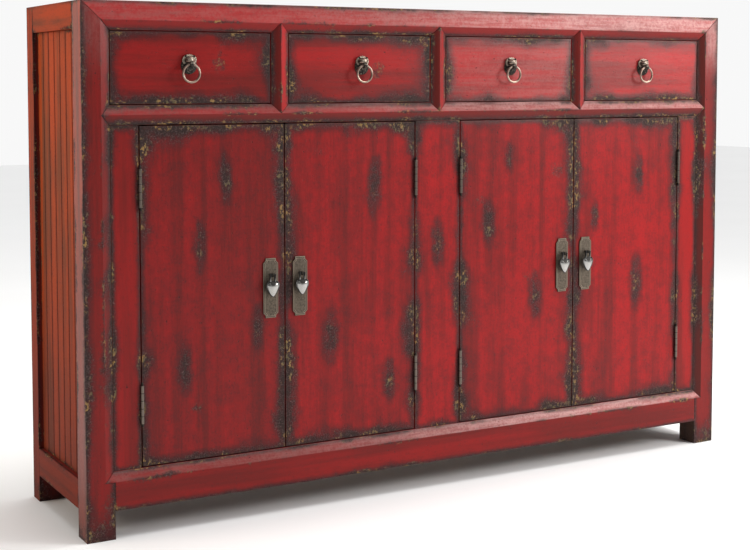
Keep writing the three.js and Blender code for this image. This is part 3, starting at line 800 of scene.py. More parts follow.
def barrel_tree():
    """A hinge barrel: a turned rod with a groove between knuckles and a ball at each end."""
    inputs = (
        ("Length", "NodeSocketFloat", 0.076),
        ("Radius", "NodeSocketFloat", 0.0033),
        ("Knuckles", "NodeSocketInt", 5),
        ("Groove", "NodeSocketFloat", 0.16),
        ("Material", "NodeSocketMaterial", None),
    )
    group, tree, wires = new_geometry_tree("hinge_barrel", inputs)
    half = wires["Length"] * 0.5
    low = tree.add("ShaderNodeCombineXYZ", {}, {"Z": half * -1})
    high = tree.add("ShaderNodeCombineXYZ", {}, {"Z": half})
    line = tree.add("GeometryNodeCurvePrimitiveLine", {}, {"Start": low, "End": high})
    line = tree.add("GeometryNodeResampleCurve", {}, {"Curve": line, "Count": 150})
    share = tree.add("GeometryNodeSplineParameter", {}, {}, "Factor")
    inside = (share - 0.07) * (1 / 0.86)
    phase = tree.maths("FRACT", inside * wires["Knuckles"])
    from_groove = tree.maths("ABSOLUTE", tree.maths("ABSOLUTE", phase - 0.5) - 0.5)
    body = 1 - wires["Groove"] * (1 - tree.step(from_groove, 0.0, 0.07))
    from_end = tree.maths("MINIMUM", share, 1 - share)
    ball = tree.maths("SQRT", tree.maths("MAXIMUM", 0.0, 1 - ((from_end - 0.032) * 31) ** 2.0)) * 0.72
    is_body = tree.step(from_end, 0.066, 0.070)
    radius = tree.maths("MAXIMUM", body * is_body, tree.maths("MAXIMUM", ball, 0.02))
    circle = tree.add("GeometryNodeCurvePrimitiveCircle", {}, {"Resolution": 20, "Radius": 1.0}, "Curve")
    sweep = {"Curve": line, "Profile Curve": circle, "Scale": radius * wires["Radius"], "Fill Caps": True}
    rod = tree.add("GeometryNodeCurveToMesh", {}, sweep)
    rod = tree.add("GeometryNodeSetShadeSmooth", {}, {"Geometry": rod})
    return finish_geometry_tree(group, tree, rod, wires["Material"])


def studs_tree():
    """Domed studs on a grid that stands in the XZ plane."""
    inputs = (
        ("Width", "NodeSocketFloat", 0.02),
        ("Height", "NodeSocketFloat", 0.1),
        ("Columns", "NodeSocketInt", 2),
        ("Rows", "NodeSocketInt", 2),
        ("Radius", "NodeSocketFloat", 0.0015),
        ("Dome", "NodeSocketFloat", 0.5),
        ("Material", "NodeSocketMaterial", None),
    )
    group, tree, wires = new_geometry_tree("studs", inputs)
    grid = {
        "Size X": wires["Width"],
        "Size Y": wires["Height"],
        "Vertices X": wires["Columns"],
        "Vertices Y": wires["Rows"],
    }
    points = tree.add("GeometryNodeMeshGrid", {}, grid, "Mesh")
    points = tree.add("GeometryNodeTransform", {}, {"Geometry": points, "Rotation": (math.pi / 2, 0, 0)})
    stud = {"Segments": 12, "Rings": 8, "Radius": wires["Radius"]}
    ball = tree.add("GeometryNodeMeshUVSphere", {}, stud, "Mesh")
    flat = tree.add("ShaderNodeCombineXYZ", {}, {"X": 1.0, "Y": wires["Dome"], "Z": 1.0})
    ball = tree.add("GeometryNodeTransform", {}, {"Geometry": ball, "Scale": flat})
    ball = tree.add("GeometryNodeSetShadeSmooth", {}, {"Geometry": ball})
    placed = tree.add("GeometryNodeInstanceOnPoints", {}, {"Points": points, "Instance": ball})
    return finish_geometry_tree(group, tree, placed, wires["Material"])


def planks_tree():
    """Upright planks side by side along X, each set a little in or out."""
    inputs = (
        ("Width", "NodeSocketFloat", 1.4),
        ("Height", "NodeSocketFloat", 0.9),
        ("Thickness", "NodeSocketFloat", 0.01),
        ("Planks", "NodeSocketInt", 9),
        ("Gap", "NodeSocketFloat", 0.0018),
        ("Unevenness", "NodeSocketFloat", 0.0006),
        ("Seed", "NodeSocketInt", 4),
        ("Material", "NodeSocketMaterial", None),
    )
    group, tree, wires = new_geometry_tree("back_planks", inputs)
    pitch = tree.maths("DIVIDE", wires["Width"], wires["Planks"])
    start = tree.add("ShaderNodeCombineXYZ", {}, {"X": (pitch - wires["Width"]) * 0.5})
    offset = tree.add("ShaderNodeCombineXYZ", {}, {"X": pitch})
    line = {"Count": wires["Planks"], "Start Location": start, "Offset": offset}
    points = tree.add("GeometryNodeMeshLine", {}, line)
    size = {"X": pitch - wires["Gap"], "Y": wires["Thickness"], "Z": wires["Height"]}
    plank = tree.add("GeometryNodeMeshCube", {}, {"Size": tree.add("ShaderNodeCombineXYZ", {}, size)}, "Mesh")
    reach = {"Min": (0, 0, 0), "Max": (0, 1, 0), "Seed": wires["Seed"]}
    shift = tree.add("FunctionNodeRandomValue", {"data_type": "FLOAT_VECTOR"}, reach, 0)
    shift = tree.vector("SCALE", shift, wires["Unevenness"] * -1)
    points = tree.add("GeometryNodeSetPosition", {}, {"Geometry": points, "Offset": shift})
    placed = tree.add("GeometryNodeInstanceOnPoints", {}, {"Points": points, "Instance": plank})
    return finish_geometry_tree(group, tree, placed, wires["Material"])


def curls_tree():
    """Snail curls set round the upper part of a head, in the XZ plane."""
    inputs = (
        ("Radius", "NodeSocketFloat", 0.0108),
        ("Curls", "NodeSocketInt", 13),
        ("Curl Size", "NodeSocketFloat", 0.0026),
        ("Stretch", "NodeSocketFloat", 1.4),
        ("Sweep", "NodeSocketFloat", math.radians(250)),
        ("Material", "NodeSocketMaterial", None),
    )
    group, tree, wires = new_geometry_tree("mane_curls", inputs)
    begin = (math.pi - wires["Sweep"]) * 0.5
    arc = {
        "Resolution": wires["Curls"],
        "Radius": wires["Radius"],
        "Start Angle": begin,
        "Sweep Angle": wires["Sweep"],
    }
    line = tree.add("GeometryNodeCurveArc", {}, arc, "Curve")
    wide = tree.add("ShaderNodeCombineXYZ", {}, {"X": wires["Stretch"], "Y": 1.0, "Z": 1.0})
    line = tree.add("GeometryNodeTransform", {}, {"Geometry": line, "Scale": wide})
    sections = tree.add("GeometryNodeCurveToPoints", {"mode": "EVALUATED"}, {"Curve": line}, "Points")
    turns = Wire(tree, sections.socket.node.outputs["Rotation"])
    spiral = {
        "Resolution": 14,
        "Rotations": 1.6,
        "Start Radius": wires["Curl Size"] * 0.22,
        "End Radius": wires["Curl Size"] * 0.78,
        "Height": 0.0,
    }
    curl = tree.add("GeometryNodeCurveSpiral", {}, spiral)
    round_wire = {"Resolution": 6, "Radius": wires["Curl Size"] * 0.28}
    section = tree.add("GeometryNodeCurvePrimitiveCircle", {}, round_wire, "Curve")
    sweep = {"Curve": curl, "Profile Curve": section, "Fill Caps": True}
    curl = tree.add("GeometryNodeCurveToMesh", {}, sweep)
    curl = tree.add("GeometryNodeSetShadeSmooth", {}, {"Geometry": curl})
    curl = tree.add("GeometryNodeTransform", {}, {"Geometry": curl, "Rotation": (math.pi / 2, 0, 0)})
    placed = {"Points": sections, "Instance": curl, "Rotation": turns}
    placed = tree.add("GeometryNodeInstanceOnPoints", {}, placed)
    placed = tree.add("GeometryNodeTransform", {}, {"Geometry": placed, "Rotation": (math.pi / 2, 0, 0)})
    return finish_geometry_tree(group, tree, placed, wires["Material"])


def geometry_tree(name, maker):
    """A geometry tree by its name, made the first time that it is asked for."""
    return bpy.data.node_groups.get(name) or maker()


# ---- Pulls ----

HEAD_RISE = 8.4 * MM  # of the head's middle above the ring's pivot
HEAD_HALF_WIDTH = 11 * MM
HEAD_HALF_DEPTH = 13.5 * MM
HEAD_HALF_HEIGHT = 7.8 * MM
MASK_LOW, MASK_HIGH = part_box("pull_mask_1")
RING_LOW, RING_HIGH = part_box("pull_ring_1")
RING_WIRE = (RING_HIGH.y - RING_LOW.y) / 2
RING_RADIUS = (RING_HIGH.x - RING_LOW.x) / 2 - RING_WIRE

# The beast's features on one half of its face: across from the middle, up from the middle, half width, half
# height, and how far it stands out, as shares of the head's half height.
FACE_FEATURES = (
    (0.00, -0.18, 0.26, 0.20, 0.34),
    (0.00, 0.25, 0.14, 0.40, 0.16),
    (0.40, 0.20, 0.20, 0.17, 0.26),
    (0.42, 0.21, 0.07, 0.07, -0.12),
    (0.40, 0.52, 0.32, 0.10, 0.24),
    (0.72, 0.42, 0.14, 0.14, 0.20),
    (0.14, -0.26, 0.07, 0.06, -0.18),
    (0.55, -0.30, 0.24, 0.20, 0.20),
    (0.25, -0.55, 0.34, 0.07, -0.20),
    (0.28, -0.74, 0.30, 0.10, 0.14),
    (0.00, 0.80, 0.16, 0.18, 0.26),
    (0.30, 0.36, 0.26, 0.05, -0.12),
)


def relief(across, up):
    """How far the face stands out at a place, as a share of the head's half height."""
    total = 0
    for x, z, half_width, half_height, height in FACE_FEATURES:
        spread = ((abs(across) - x) / half_width) ** 2 + ((up - z) / half_height) ** 2
        total += height * math.exp(-spread)
    return total


def head_shape(half_width, half_depth, half_height):
    """The beast's head: a rounded form with brows, eyes, nose and cheeks raised on its front."""
    shape = bmesh.new()
    bmesh.ops.create_icosphere(shape, subdivisions=5, radius=1)
    for vertex in shape.verts:
        place = vertex.co.copy()
        if place.y > 0:
            place.y *= 0.15
        front = smooth_step(-place.y, 0.05, 0.45)
        lift = 1 + 0.55 * relief(place.x, place.z) * front
        vertex.co = Vector((place.x * half_width, place.y * half_depth * lift, place.z * half_height))
        vertex.co.x *= 1 + 0.10 * relief(place.x, place.z) * front
    return shape


def mask_shape(pivot, plate_front, plate_back):
    """A round stepped plate, the beast's head on it, and the jaw that the ring hangs through."""
    radius = (MASK_HIGH.x - MASK_LOW.x) / 2
    middle = MASK_LOW.z + radius - pivot.z
    thickness = plate_back - plate_front
    profile = [(0, 0), (radius - 0.4 * MM, 0), (radius, 0.5 * MM), (radius, thickness * 0.4)]
    profile += [(radius - 1.2 * MM, thickness * 0.75), (radius - 2.4 * MM, thickness * 0.62)]
    profile += [(radius - 3.2 * MM, thickness), (0, thickness)]
    plate = turned([(r, -h) for r, h in profile], 64, "Y")
    moved(plate, Vector((0, plate_back, middle)))
    head = head_shape(HEAD_HALF_WIDTH, HEAD_HALF_DEPTH, HEAD_HALF_HEIGHT)
    moved(head, Vector((0, plate_front, HEAD_RISE)))
    rim = [(9.6 * MM, 0), (10.4 * MM, 0.8 * MM), (10.4 * MM, 1.9 * MM), (9.2 * MM, 2.9 * MM)]
    base = turned([(r, -h) for r, h in ((0, 0), *rim, (0, 3.1 * MM))], 48, "Y")
    bmesh.ops.scale(base, verts=base.verts, vec=(1.38, 1, 0.95))
    moved(base, Vector((0, plate_back, HEAD_RISE)))
    ears = []
    for reach in (-1, 1):
        ear = head_ear()
        turn = Matrix.Rotation(reach * math.radians(38), 4, "Y")
        bmesh.ops.transform(ear, matrix=turn, verts=ear.verts)
        ears.append(moved(ear, Vector((reach * 7.8 * MM, plate_front - 5 * MM, HEAD_RISE + 6.4 * MM))))
    return joined([plate, base, head, *ears, jaw_shape(plate_front)])


def head_ear():
    """One pointed ear that stands up from the head."""
    radius, length = 2.3 * MM, 5.2 * MM
    steps = 8
    profile = [(0, -0.4 * MM)]
    for share in (i / steps for i in range(steps)):
        fullness = math.sin(math.pi * min(1, share + 0.18)) ** 0.7
        profile.append((radius * fullness * (1 - share * 0.55), length * share))
    return turned([*profile, (0, length)], 18, "Z")


def jaw_shape(plate_front):
    """The loop of the jaw, whose hole widens to both sides so that the ring can swing, and its neck."""
    half = 4 * MM
    steps = [-1 + i / 4 for i in range(9)]
    inner = []
    for step in steps:
        fall = RING_RADIUS - math.sqrt(RING_RADIUS**2 - (step * half) ** 2)
        inner.append((RING_WIRE + 0.5 * MM + fall * 1.15, step * half))
    outer = [(5.95 * MM - 0.9 * MM * abs(step) ** 4, step * half * 0.98) for step in reversed(steps)]
    loop = turned(inner + outer, 40, "X", closed=True)
    neck_start = RING_WIRE + 1.6 * MM
    neck_half = (plate_front + 1 * MM - neck_start) / 2
    neck = rod_shape(3.9 * MM, neck_half, "Y", 0.4 * MM)
    moved(neck, Vector((0, neck_start + neck_half, 0)))
    return joined([loop, neck])


def pivot_of(node, radius):
    """The pivot of a hanging piece, which lies this far under its top."""
    low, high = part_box(node)
    return Vector(((low.x + high.x) / 2, (low.y + high.y) / 2, high.z - radius))


def mark_patina_and_shade(mesh, rule):
    """Stores how dark each point is, from 0 to 1, by a rule for a point: dark patina in hollows, and painted
    shade where the rule puts it.
    """
    set_attribute(mesh, "hollow", "FLOAT", [min(1, max(0, rule(vertex.co))) for vertex in mesh.vertices])


# ---- Door plates and drop pulls ----

PLATE_LOW, PLATE_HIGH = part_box("door_plate_1")
DROP_LOW, DROP_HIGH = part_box("door_drop_1")
PRONG_RADIUS = 2.6 * MM
DROP_PIN_RADIUS = 1.5 * MM

# From a door plate's outline inwards: how wide each step is and how far it rises, in millimetres. They are
# the bevel, the border, the cut line with its two walls, the inner border, and the field's wall and edge.
PLATE_STEPS = (
    (0.5, 0.45),
    (1.4, 0.0),
    (0.25, -0.55),
    (0.8, 0.0),
    (0.25, 0.55),
    (1.1, 0.0),
    (0.2, -0.3),
    (0.4, 0.0),
)


def plate_shape(half_width, half_height, thickness):
    """A tall plate with narrower ends, a cut line round it and a raised field, facing forwards."""
    ear = half_width * 0.30
    neck = half_width - ear
    outline = [(half_width, half_height - 2 * ear), (neck, half_height - ear), (neck, half_height)]
    outline += [(-x, z) for x, z in reversed(outline)]
    outline += [(-x, -z) for x, z in outline]
    shape = bmesh.new()
    face = shape.faces.new([shape.verts.new((x, 0, z)) for x, z in outline])
    shape.normal_update()
    if face.normal.y > 0:
        face.normal_flip()
    for inset, rise in PLATE_STEPS:
        sizes = {"thickness": inset * MM, "depth": rise * MM}
        bmesh.ops.inset_region(shape, faces=[face], use_boundary=True, use_even_offset=True, **sizes)
    rim = [edge for edge in shape.edges if edge.is_boundary]
    wall = bmesh.ops.extrude_edge_only(shape, edges=rim)
    edge_verts = [item for item in wall["geom"] if isinstance(item, bmesh.types.BMVert)]
    bmesh.ops.translate(shape, verts=edge_verts, vec=(0, thickness - PLATE_STEPS[0][1] * MM, 0))
    back = [edge for edge in shape.edges if edge.is_boundary]
    bmesh.ops.edgeloop_fill(shape, edges=back)
    return shape


def eye_shape(reach):
    """The staple that a drop pull hangs from: a loop round the pin, and its stem back to the plate."""
    inner, outer, half = DROP_PIN_RADIUS + 0.3 * MM, 3.9 * MM, 2.4 * MM
    profile = [(inner, -half * 0.8), (inner + 0.3 * MM, -half)]
    profile += [(outer - 0.8 * MM, -half), (outer, -half * 0.6)]
    profile += [(r, -x) for r, x in reversed(profile)]
    loop = turned(profile, 28, "X", closed=True)
    stem_low = Vector((-half, inner + 1.0 * MM, -2.4 * MM))
    stem_high = Vector((half, reach + 0.5 * MM, 2.4 * MM))
    return joined([loop, block_shape(stem_low, stem_high, 0.5 * MM)])


def leaf_profile(across):
    """How far the front of a drop pull stands out, from the middle at 0 to its outline at 1."""
    if across > 0.84:
        return 0.44 * math.sqrt(max(0, 1 - ((across - 0.92) / 0.08) ** 2))
    return 0.20 + 0.80 * (1 - (across / 0.86) ** 2) ** 0.62


def leaf_shape(length, half_width, shoulder, half_depth):
    """The leaf of a drop pull: a dome inside a bead, with a hollow under the shoulder."""
    start = [Vector(p) for p in ((0, -length), (half_width * 0.34, -length))]
    side = [Vector(p) for p in ((half_width, -length * 0.66), (half_width, -20 * MM))]
    outline = interpolate_bezier(start[0], start[1], side[0], side[1], 26)
    rise = [Vector(p) for p in ((half_width, -14 * MM), (10 * MM, -shoulder), (6 * MM, -shoulder))]
    outline += interpolate_bezier(side[1], rise[0], rise[1], rise[2], 12)[1:]
    shares = [math.sin(math.pi / 2 * i / 12) for i in range(-12, 13)]
    shape = bmesh.new()
    rows = []
    for x, z in outline:
        if x < 1e-6:
            rows.append([shape.verts.new((0, 0, z))])
            continue
        fullness = (x / half_width) ** 0.6
        sunk = 1 - 0.8 * math.exp(-(((z + shoulder + 1.5 * MM) / (4.5 * MM)) ** 2))
        row = []
        for share in shares:
            height = leaf_profile(abs(share))
            height *= sunk if abs(share) < 0.84 else 1
            row.append(shape.verts.new((share * x, -height * half_depth * fullness, z)))
        for share in shares[-2:0:-1]:
            depth = 0.55 * half_depth * fullness * math.sqrt(1 - share * share)
            row.append(shape.verts.new((share * x, depth, z)))
        rows.append(row)
    for lower, upper in zip(rows, rows[1:]):
        for i in range(len(upper)):
            corners = [lower[i % len(lower)], lower[(i + 1) % len(lower)]]
            corners += [upper[(i + 1) % len(upper)], upper[i]]
            shape.faces.new(list(dict.fromkeys(corners)))
    shape.faces.new(rows[-1])
    return shape


def drop_shape():
    """A drop pull about its pivot: the leaf, two prongs, and the pin between them."""
    length = DROP_HIGH.z - PRONG_RADIUS - DROP_LOW.z
    half_width = (DROP_HIGH.x - DROP_LOW.x) / 2
    half_depth = (DROP_HIGH.y - DROP_LOW.y) / 2
    shoulder = 11 * MM
    parts = [leaf_shape(length, half_width, shoulder, half_depth)]
    for side in (-1, 1):
        middle = side * 5.4 * MM
        low = Vector((middle - 1.6 * MM, -1.9 * MM, -shoulder - 2 * MM))
        high = Vector((middle + 1.6 * MM, 1.9 * MM, -0.6 * MM))
        parts.append(block_shape(low, high, 0.9 * MM))
        parts.append(moved(rod_shape(PRONG_RADIUS, 1.6 * MM, "X", 0.5 * MM), Vector((middle, 0, 0))))
    parts.append(rod_shape(DROP_PIN_RADIUS, 7.6 * MM, "X", 0.6 * MM))
    return joined(parts)


# ---- Operators ----


class SideboardPiece:
    """What every operator here shares."""

    bl_options = {"REGISTER", "UNDO"}

    def execute(self, context):
        self.make(context.scene)
        return {"FINISHED"}


class SIDEBOARD_OT_case_frame(SideboardPiece, bpy.types.Operator):
    """Posts, rails, dividers and stiles, softened and lacquered"""

    bl_idname = "sideboard.case_frame"
    bl_label = "Case frame"

    def make(self, scene):
        band = scene.sideboard_wood.frame_wear
        for side, sign in (("left", -1), ("right", 1)):
            arrises = [(0, -sign * POST_ARRIS, ARRIS_REACH), (0, sign * CAD_HIGH.x, 24 * MM)]
            # Painted sheen on the upper part of each front post.
            settings = {"arrises": arrises, "tone_and_shade": 0.58, "painted_sheen": 0.6, "painted_sheen_from": 0.87}
            lacquered_board(f"post_front_{side}", "carcass", band * 1.7, UP, **settings)
            narrow = band * 0.6
            lacquered_board(f"post_back_{side}", "carcass", narrow, UP, side=0.35, tone_and_shade=0.82)
            # Painted shade: the left stile is darker than the right one.
            lacquered_board(f"stile_{side}", "carcass", band * 1.3, UP, tone_and_shade=0.46 if sign < 0 else 0.28)
            lacquered_board(f"side_rail_top_{side}", "carcass", narrow, BACKWARD, side=0.9, tone_and_shade=0.2)
            lacquered_board(f"side_rail_bottom_{side}", "carcass", narrow, BACKWARD, side=0.3, tone_and_shade=0.62)
        lacquered_board("stile_centre", "carcass", band * 2.4, UP, spots=WORN_SPOTS["stile_centre"])
        # Painted shade, darker towards the bottom rail, and painted sheen on the top rail.
        shades_and_sheens = ((0.16, 0.85), (0.34, 0.0), (0.46, 0.0))
        for (node, height), (tone_and_shade, painted_sheen) in zip(RAIL_ARRISES.items(), shades_and_sheens):
            lacquered_board(node, "carcass", band, ACROSS, [(2, height, ARRIS_REACH)], tone_and_shade=tone_and_shade, painted_sheen=painted_sheen)
        for place in ("left", "centre", "right"):
            low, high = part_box(f"divider_{place}")
            arris = [(0, (low.x + high.x) / 2, ARRIS_REACH)]
            # Painted sheen on the dividers.
            lacquered_board(f"divider_{place}", "carcass", band * 0.7, UP, arris, painted_sheen=0.12)


class SIDEBOARD_OT_sides(SideboardPiece, bpy.types.Operator):
    """The grooved boards of both sides, faded to a warmer red"""

    bl_idname = "sideboard.sides"
    bl_label = "Side boards"

    def make(self, scene):
        boards = 7
        for side in ("left", "right"):
            low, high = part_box(f"side_panel_{side}")
            pitch = (high.y - low.y) / boards
            grooves = [(1, low.y + pitch * i) for i in range(1, boards)]
            band = scene.sideboard_wood.frame_wear
            lacquered_board(f"side_panel_{side}", "carcass", band, UP, grooves=grooves, side=1.0)


class SIDEBOARD_OT_top(SideboardPiece, bpy.types.Operator):
    """The lacquered top board"""

    bl_idname = "sideboard.top"
    bl_label = "Top board"

    def make(self, scene):
        band = scene.sideboard_wood.frame_wear
        lacquered_board("top_panel", "carcass", band, ACROSS, material="dull_lacquer")


class SIDEBOARD_OT_inside(SideboardPiece, bpy.types.Operator):
    """The bare boards inside: cupboard floor, shelf and drawer deck"""

    bl_idname = "sideboard.inside"
    bl_label = "Inside boards"

    def make(self, scene):
        for node in ("cupboard_floor", "drawer_deck", "shelf"):
            bare_board(node, "carcass", ACROSS)


class SIDEBOARD_OT_back(SideboardPiece, bpy.types.Operator):
    """The planked back and its nails"""

    bl_idname = "sideboard.back"
    bl_label = "Back planks"

    def make(self, scene):
        low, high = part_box("back_panel")
        size, middle = high - low, (low + high) / 2
        settings = {
            "Width": size.x,
            "Height": size.z,
            "Thickness": size.y - 0.8 * MM,
            "Planks": 9,
            "Unevenness": 0.7 * MM,
            "Material": finish("bare_wood"),
        }
        shape = bmesh.new()
        tree = geometry_tree("back_planks", planks_tree)
        shape.from_mesh(grown("planks", tree, settings, softness=1.2 * MM))
        reach = Vector((size.x / 2 - 4 * MM, 0.6 * MM, size.z / 2 - 4 * MM))
        tongues = block_shape(-reach, reach, 0.1 * MM)
        planks = mesh_from(joined([shape, tongues]), "back_planks")
        planks.transform(Matrix.Translation(middle))
        number_boards(planks, 0, low.x, size.x / settings["Planks"])
        finish_grain(planks, UP)
        object_from("back_planks", planks, "bare_wood", "carcass", "bare_wood", "back_panel")
        settings = {
            "Width": size.x - 60 * MM,
            "Height": size.z - 40 * MM,
            "Columns": 18,
            "Rows": 4,
            "Radius": 3.2 * MM,
            "Dome": 0.3,
            "Material": finish("hinge"),
        }
        nails = grown("nails", geometry_tree("studs", studs_tree), settings)
        nails.transform(Matrix.Translation((middle.x, high.y - 0.4 * MM, middle.z)))
        mark_patina_and_shade(nails, lambda point: 0.9)
        object_from("back_nails", nails, "hinge", "carcass", "hinge_metal")


class SIDEBOARD_OT_doors(SideboardPiece, bpy.types.Operator):
    """Four lacquered doors with battens behind"""

    bl_idname = "sideboard.doors"
    bl_label = "Doors"

    def make(self, scene):
        for number in NUMBERS:
            spots = WORN_SPOTS[f"door_{number}"]
            band = scene.sideboard_wood.door_wear
            # Painted shade, darkest on the left door and none on the right one.
            tone_and_shade = DOOR_PAINTED_SHADES[number - 1]
            lacquered_board(f"door_{number}", f"door_leaf_{number}", band, UP, spots=spots, tone_and_shade=tone_and_shade)


class SIDEBOARD_OT_drawer_fronts(SideboardPiece, bpy.types.Operator):
    """Four lacquered drawer fronts"""

    bl_idname = "sideboard.drawer_fronts"
    bl_label = "Drawer fronts"

    def make(self, scene):
        for number in NUMBERS:
            band = scene.sideboard_wood.drawer_wear
            # Painted shade, darkest on the left drawer, and painted sheen, strongest on the third drawer.
            tone_and_shade, painted_sheen = DRAWER_PAINTED_SHADES[number - 1], DRAWER_PAINTED_SHEENS[number - 1]
            node, body = f"drawer_front_{number}", f"drawer_{number}"
            lacquered_board(node, body, band, ACROSS, tone_and_shade=tone_and_shade, painted_sheen=painted_sheen)


class SIDEBOARD_OT_drawer_trays(SideboardPiece, bpy.types.Operator):
    """Four bare drawer trays, with interlocked corners at the back"""

    bl_idname = "sideboard.drawer_trays"
    bl_label = "Drawer trays"

    def make(self, scene):
        wall = 10 * MM
        bottom = 7 * MM
        fingers = 7
        for number in NUMBERS:
            low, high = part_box(f"drawer_box_{number}")
            wide, deep, tall = high.x - low.x, high.y - low.y, high.z - low.z - bottom
            floor = low.z + bottom
            boards = [
                self.board(low, (wide, deep, bottom)),
                self.board((low.x, low.y, floor), (wide, wall, tall)),
                self.board((low.x + wall, low.y + deep - wall, floor), (wide - 2 * wall, wall, tall)),
            ]
            for x in (low.x, high.x - wall):
                boards.append(self.board((x, low.y + wall, floor), (wall, deep - 2 * wall, tall)))
                for i in range(fingers):
                    place = (x, high.y - wall, floor + tall * i / fingers)
                    shrink = 0.25 * MM if i % 2 else 0
                    size = (wall - shrink, wall - shrink, tall / fingers - 0.3 * MM)
                    boards.append(self.board(place, size))
            mesh = mesh_from(joined(boards), f"drawer_tray_{number}")
            finish_grain(mesh, BACKWARD)
            object_from(mesh.name, mesh, "bare_wood", f"drawer_{number}", "bare_wood", f"drawer_box_{number}")

    @staticmethod
    def board(low, size):
        return block_shape(Vector(low), Vector(low) + Vector(size), 0.7 * MM)


class SIDEBOARD_OT_masks(SideboardPiece, bpy.types.Operator):
    """Four cast beast masks on round plates"""

    bl_idname = "sideboard.masks"
    bl_label = "Pull masks"

    def make(self, scene):
        for number in NUMBERS:
            pivot = pivot_of(f"pull_ring_{number}", RING_WIRE)
            plate_back = MASK_HIGH.y - pivot.y
            plate_front = plate_back - 2.5 * MM
            shape = mask_shape(pivot, plate_front, plate_back)
            mesh = mesh_from(shape, f"pull_mask_{number}_cast")
            centre = Vector((0, plate_front, HEAD_RISE))
            mark_patina_and_shade(mesh, lambda point: self.hollow(point - centre))
            settings = {
                "Curls": scene.sideboard_metal.curls,
                "Radius": 9.0 * MM,
                "Curl Size": 3.1 * MM,
                "Material": finish("bronze"),
            }
            curls = grown("mane", geometry_tree("mane_curls", curls_tree), settings)
            curls.transform(Matrix.Translation(centre + Vector((0, -1.6 * MM, 0.2 * MM))))
            for part in (mesh, curls):
                part.transform(Matrix.Translation(pivot))
            node, body = f"pull_mask_{number}", f"drawer_{number}"
            object_from(node + "_cast", mesh, "bronze", body, "mask_bronze", node)
            object_from(node + "_mane", curls, "bronze", body, "mask_bronze")

    @staticmethod
    def hollow(point):
        """Raised features are rubbed bright, and the ground round the head is dark."""
        across, up = point.x / HEAD_HALF_WIDTH, point.z / HEAD_HALF_HEIGHT
        if math.hypot(across, up) > 1.1:
            return 0.75
        return 0.75 - 3.0 * relief(across, up)


class SIDEBOARD_OT_rings(SideboardPiece, bpy.types.Operator):
    """Four pale ring pulls"""

    bl_idname = "sideboard.rings"
    bl_label = "Rings"

    def make(self, scene):
        for number in NUMBERS:
            pivot = pivot_of(f"pull_ring_{number}", RING_WIRE)
            shape = ring_shape(RING_RADIUS, RING_WIRE, "Y")
            moved(shape, pivot - Vector((0, 0, RING_RADIUS)))
            mesh = mesh_from(shape, f"pull_ring_{number}_wire")
            # Painted shade: the top of the ring, where it hangs in the jaw under the head, is darker.
            mark_patina_and_shade(mesh, lambda point: 0.5 * smooth_step(point.z, pivot.z - 8 * MM, pivot.z))
            object_from(mesh.name, mesh, "ring", f"ring_{number}", "ring_metal", f"pull_ring_{number}")


class SIDEBOARD_OT_door_plates(SideboardPiece, bpy.types.Operator):
    """Four brass door plates with a cut border, pins and the staple of the drop pull"""

    bl_idname = "sideboard.door_plates"
    bl_label = "Door plates"

    def make(self, scene):
        metal = scene.sideboard_metal
        half_width = (PLATE_HIGH.x - PLATE_LOW.x) / 2
        half_height = (PLATE_HIGH.z - PLATE_LOW.z) / 2
        thickness = 2.5 * MM
        for number in NUMBERS:
            low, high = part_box(f"door_plate_{number}")
            pivot = pivot_of(f"door_drop_{number}", PRONG_RADIUS)
            face = high.y - thickness
            middle = Vector(((low.x + high.x) / 2, face, (low.z + high.z) / 2))
            plate = moved(plate_shape(half_width, half_height, thickness), middle)
            eye = moved(eye_shape(face - pivot.y), pivot)
            mesh = mesh_from(joined([plate, eye]), f"door_plate_{number}_brass", smooth=False)
            mark_patina_and_shade(mesh, lambda point: self.hollow(point.y - face))
            settings = {
                "Width": 2 * half_width - 15 * MM,
                "Height": 2 * half_height - 9 * MM,
                "Columns": 2,
                "Rows": 2,
                "Radius": metal.pin_radius,
                "Material": finish("plate"),
            }
            pins = grown("pins", geometry_tree("studs", studs_tree), settings)
            pins.transform(Matrix.Translation(middle - Vector((0, 0.1 * MM, 0))))
            node, body = f"door_plate_{number}", f"door_leaf_{number}"
            object_from(node + "_brass", mesh, "plate", body, "plate_brass", node)
            object_from(node + "_pins", pins, "plate", body, "plate_brass")

    @staticmethod
    def hollow(depth):
        """The border is bright, the lines in it hold dark patina, and the field is between. The staple is
        dark, with its own patina and painted shadow between the prongs of the drop pull.
        """
        return 1.0 if depth < -0.8 * MM else 1.1 * smooth_step(depth, -0.4 * MM, 0.1 * MM)


class SIDEBOARD_OT_drop_pulls(SideboardPiece, bpy.types.Operator):
    """Four white-metal drop pulls"""

    bl_idname = "sideboard.drop_pulls"
    bl_label = "Drop pulls"

    def make(self, scene):
        for number in NUMBERS:
            pivot = pivot_of(f"door_drop_{number}", PRONG_RADIUS)
            mesh = mesh_from(moved(drop_shape(), pivot), f"door_drop_{number}_leaf")
            mark_patina_and_shade(mesh, lambda point: self.hollow(point - pivot))
            object_from(mesh.name, mesh, "pewter", f"drop_{number}", "drop_pewter", f"door_drop_{number}")

    @staticmethod
    def hollow(point):
        """Painted shade darkens the rim of the leaf and the prongs, to shade the dome and the gap behind the
        prongs. The hollow under the shoulder holds patina and painted shade.
        """
        spread = (point.x / (8 * MM)) ** 2 + ((point.z + 16 * MM) / (6.5 * MM)) ** 2
        half_depth = (DROP_HIGH.y - DROP_LOW.y) / 2
        # Painted shade round the rim of the leaf.
        sides = 0.9 * smooth_step(point.y / half_depth, -0.62, -0.22)
        return max(1.1 * math.exp(-spread), sides, 0.85 * smooth_step(point.z, -13 * MM, -7 * MM))


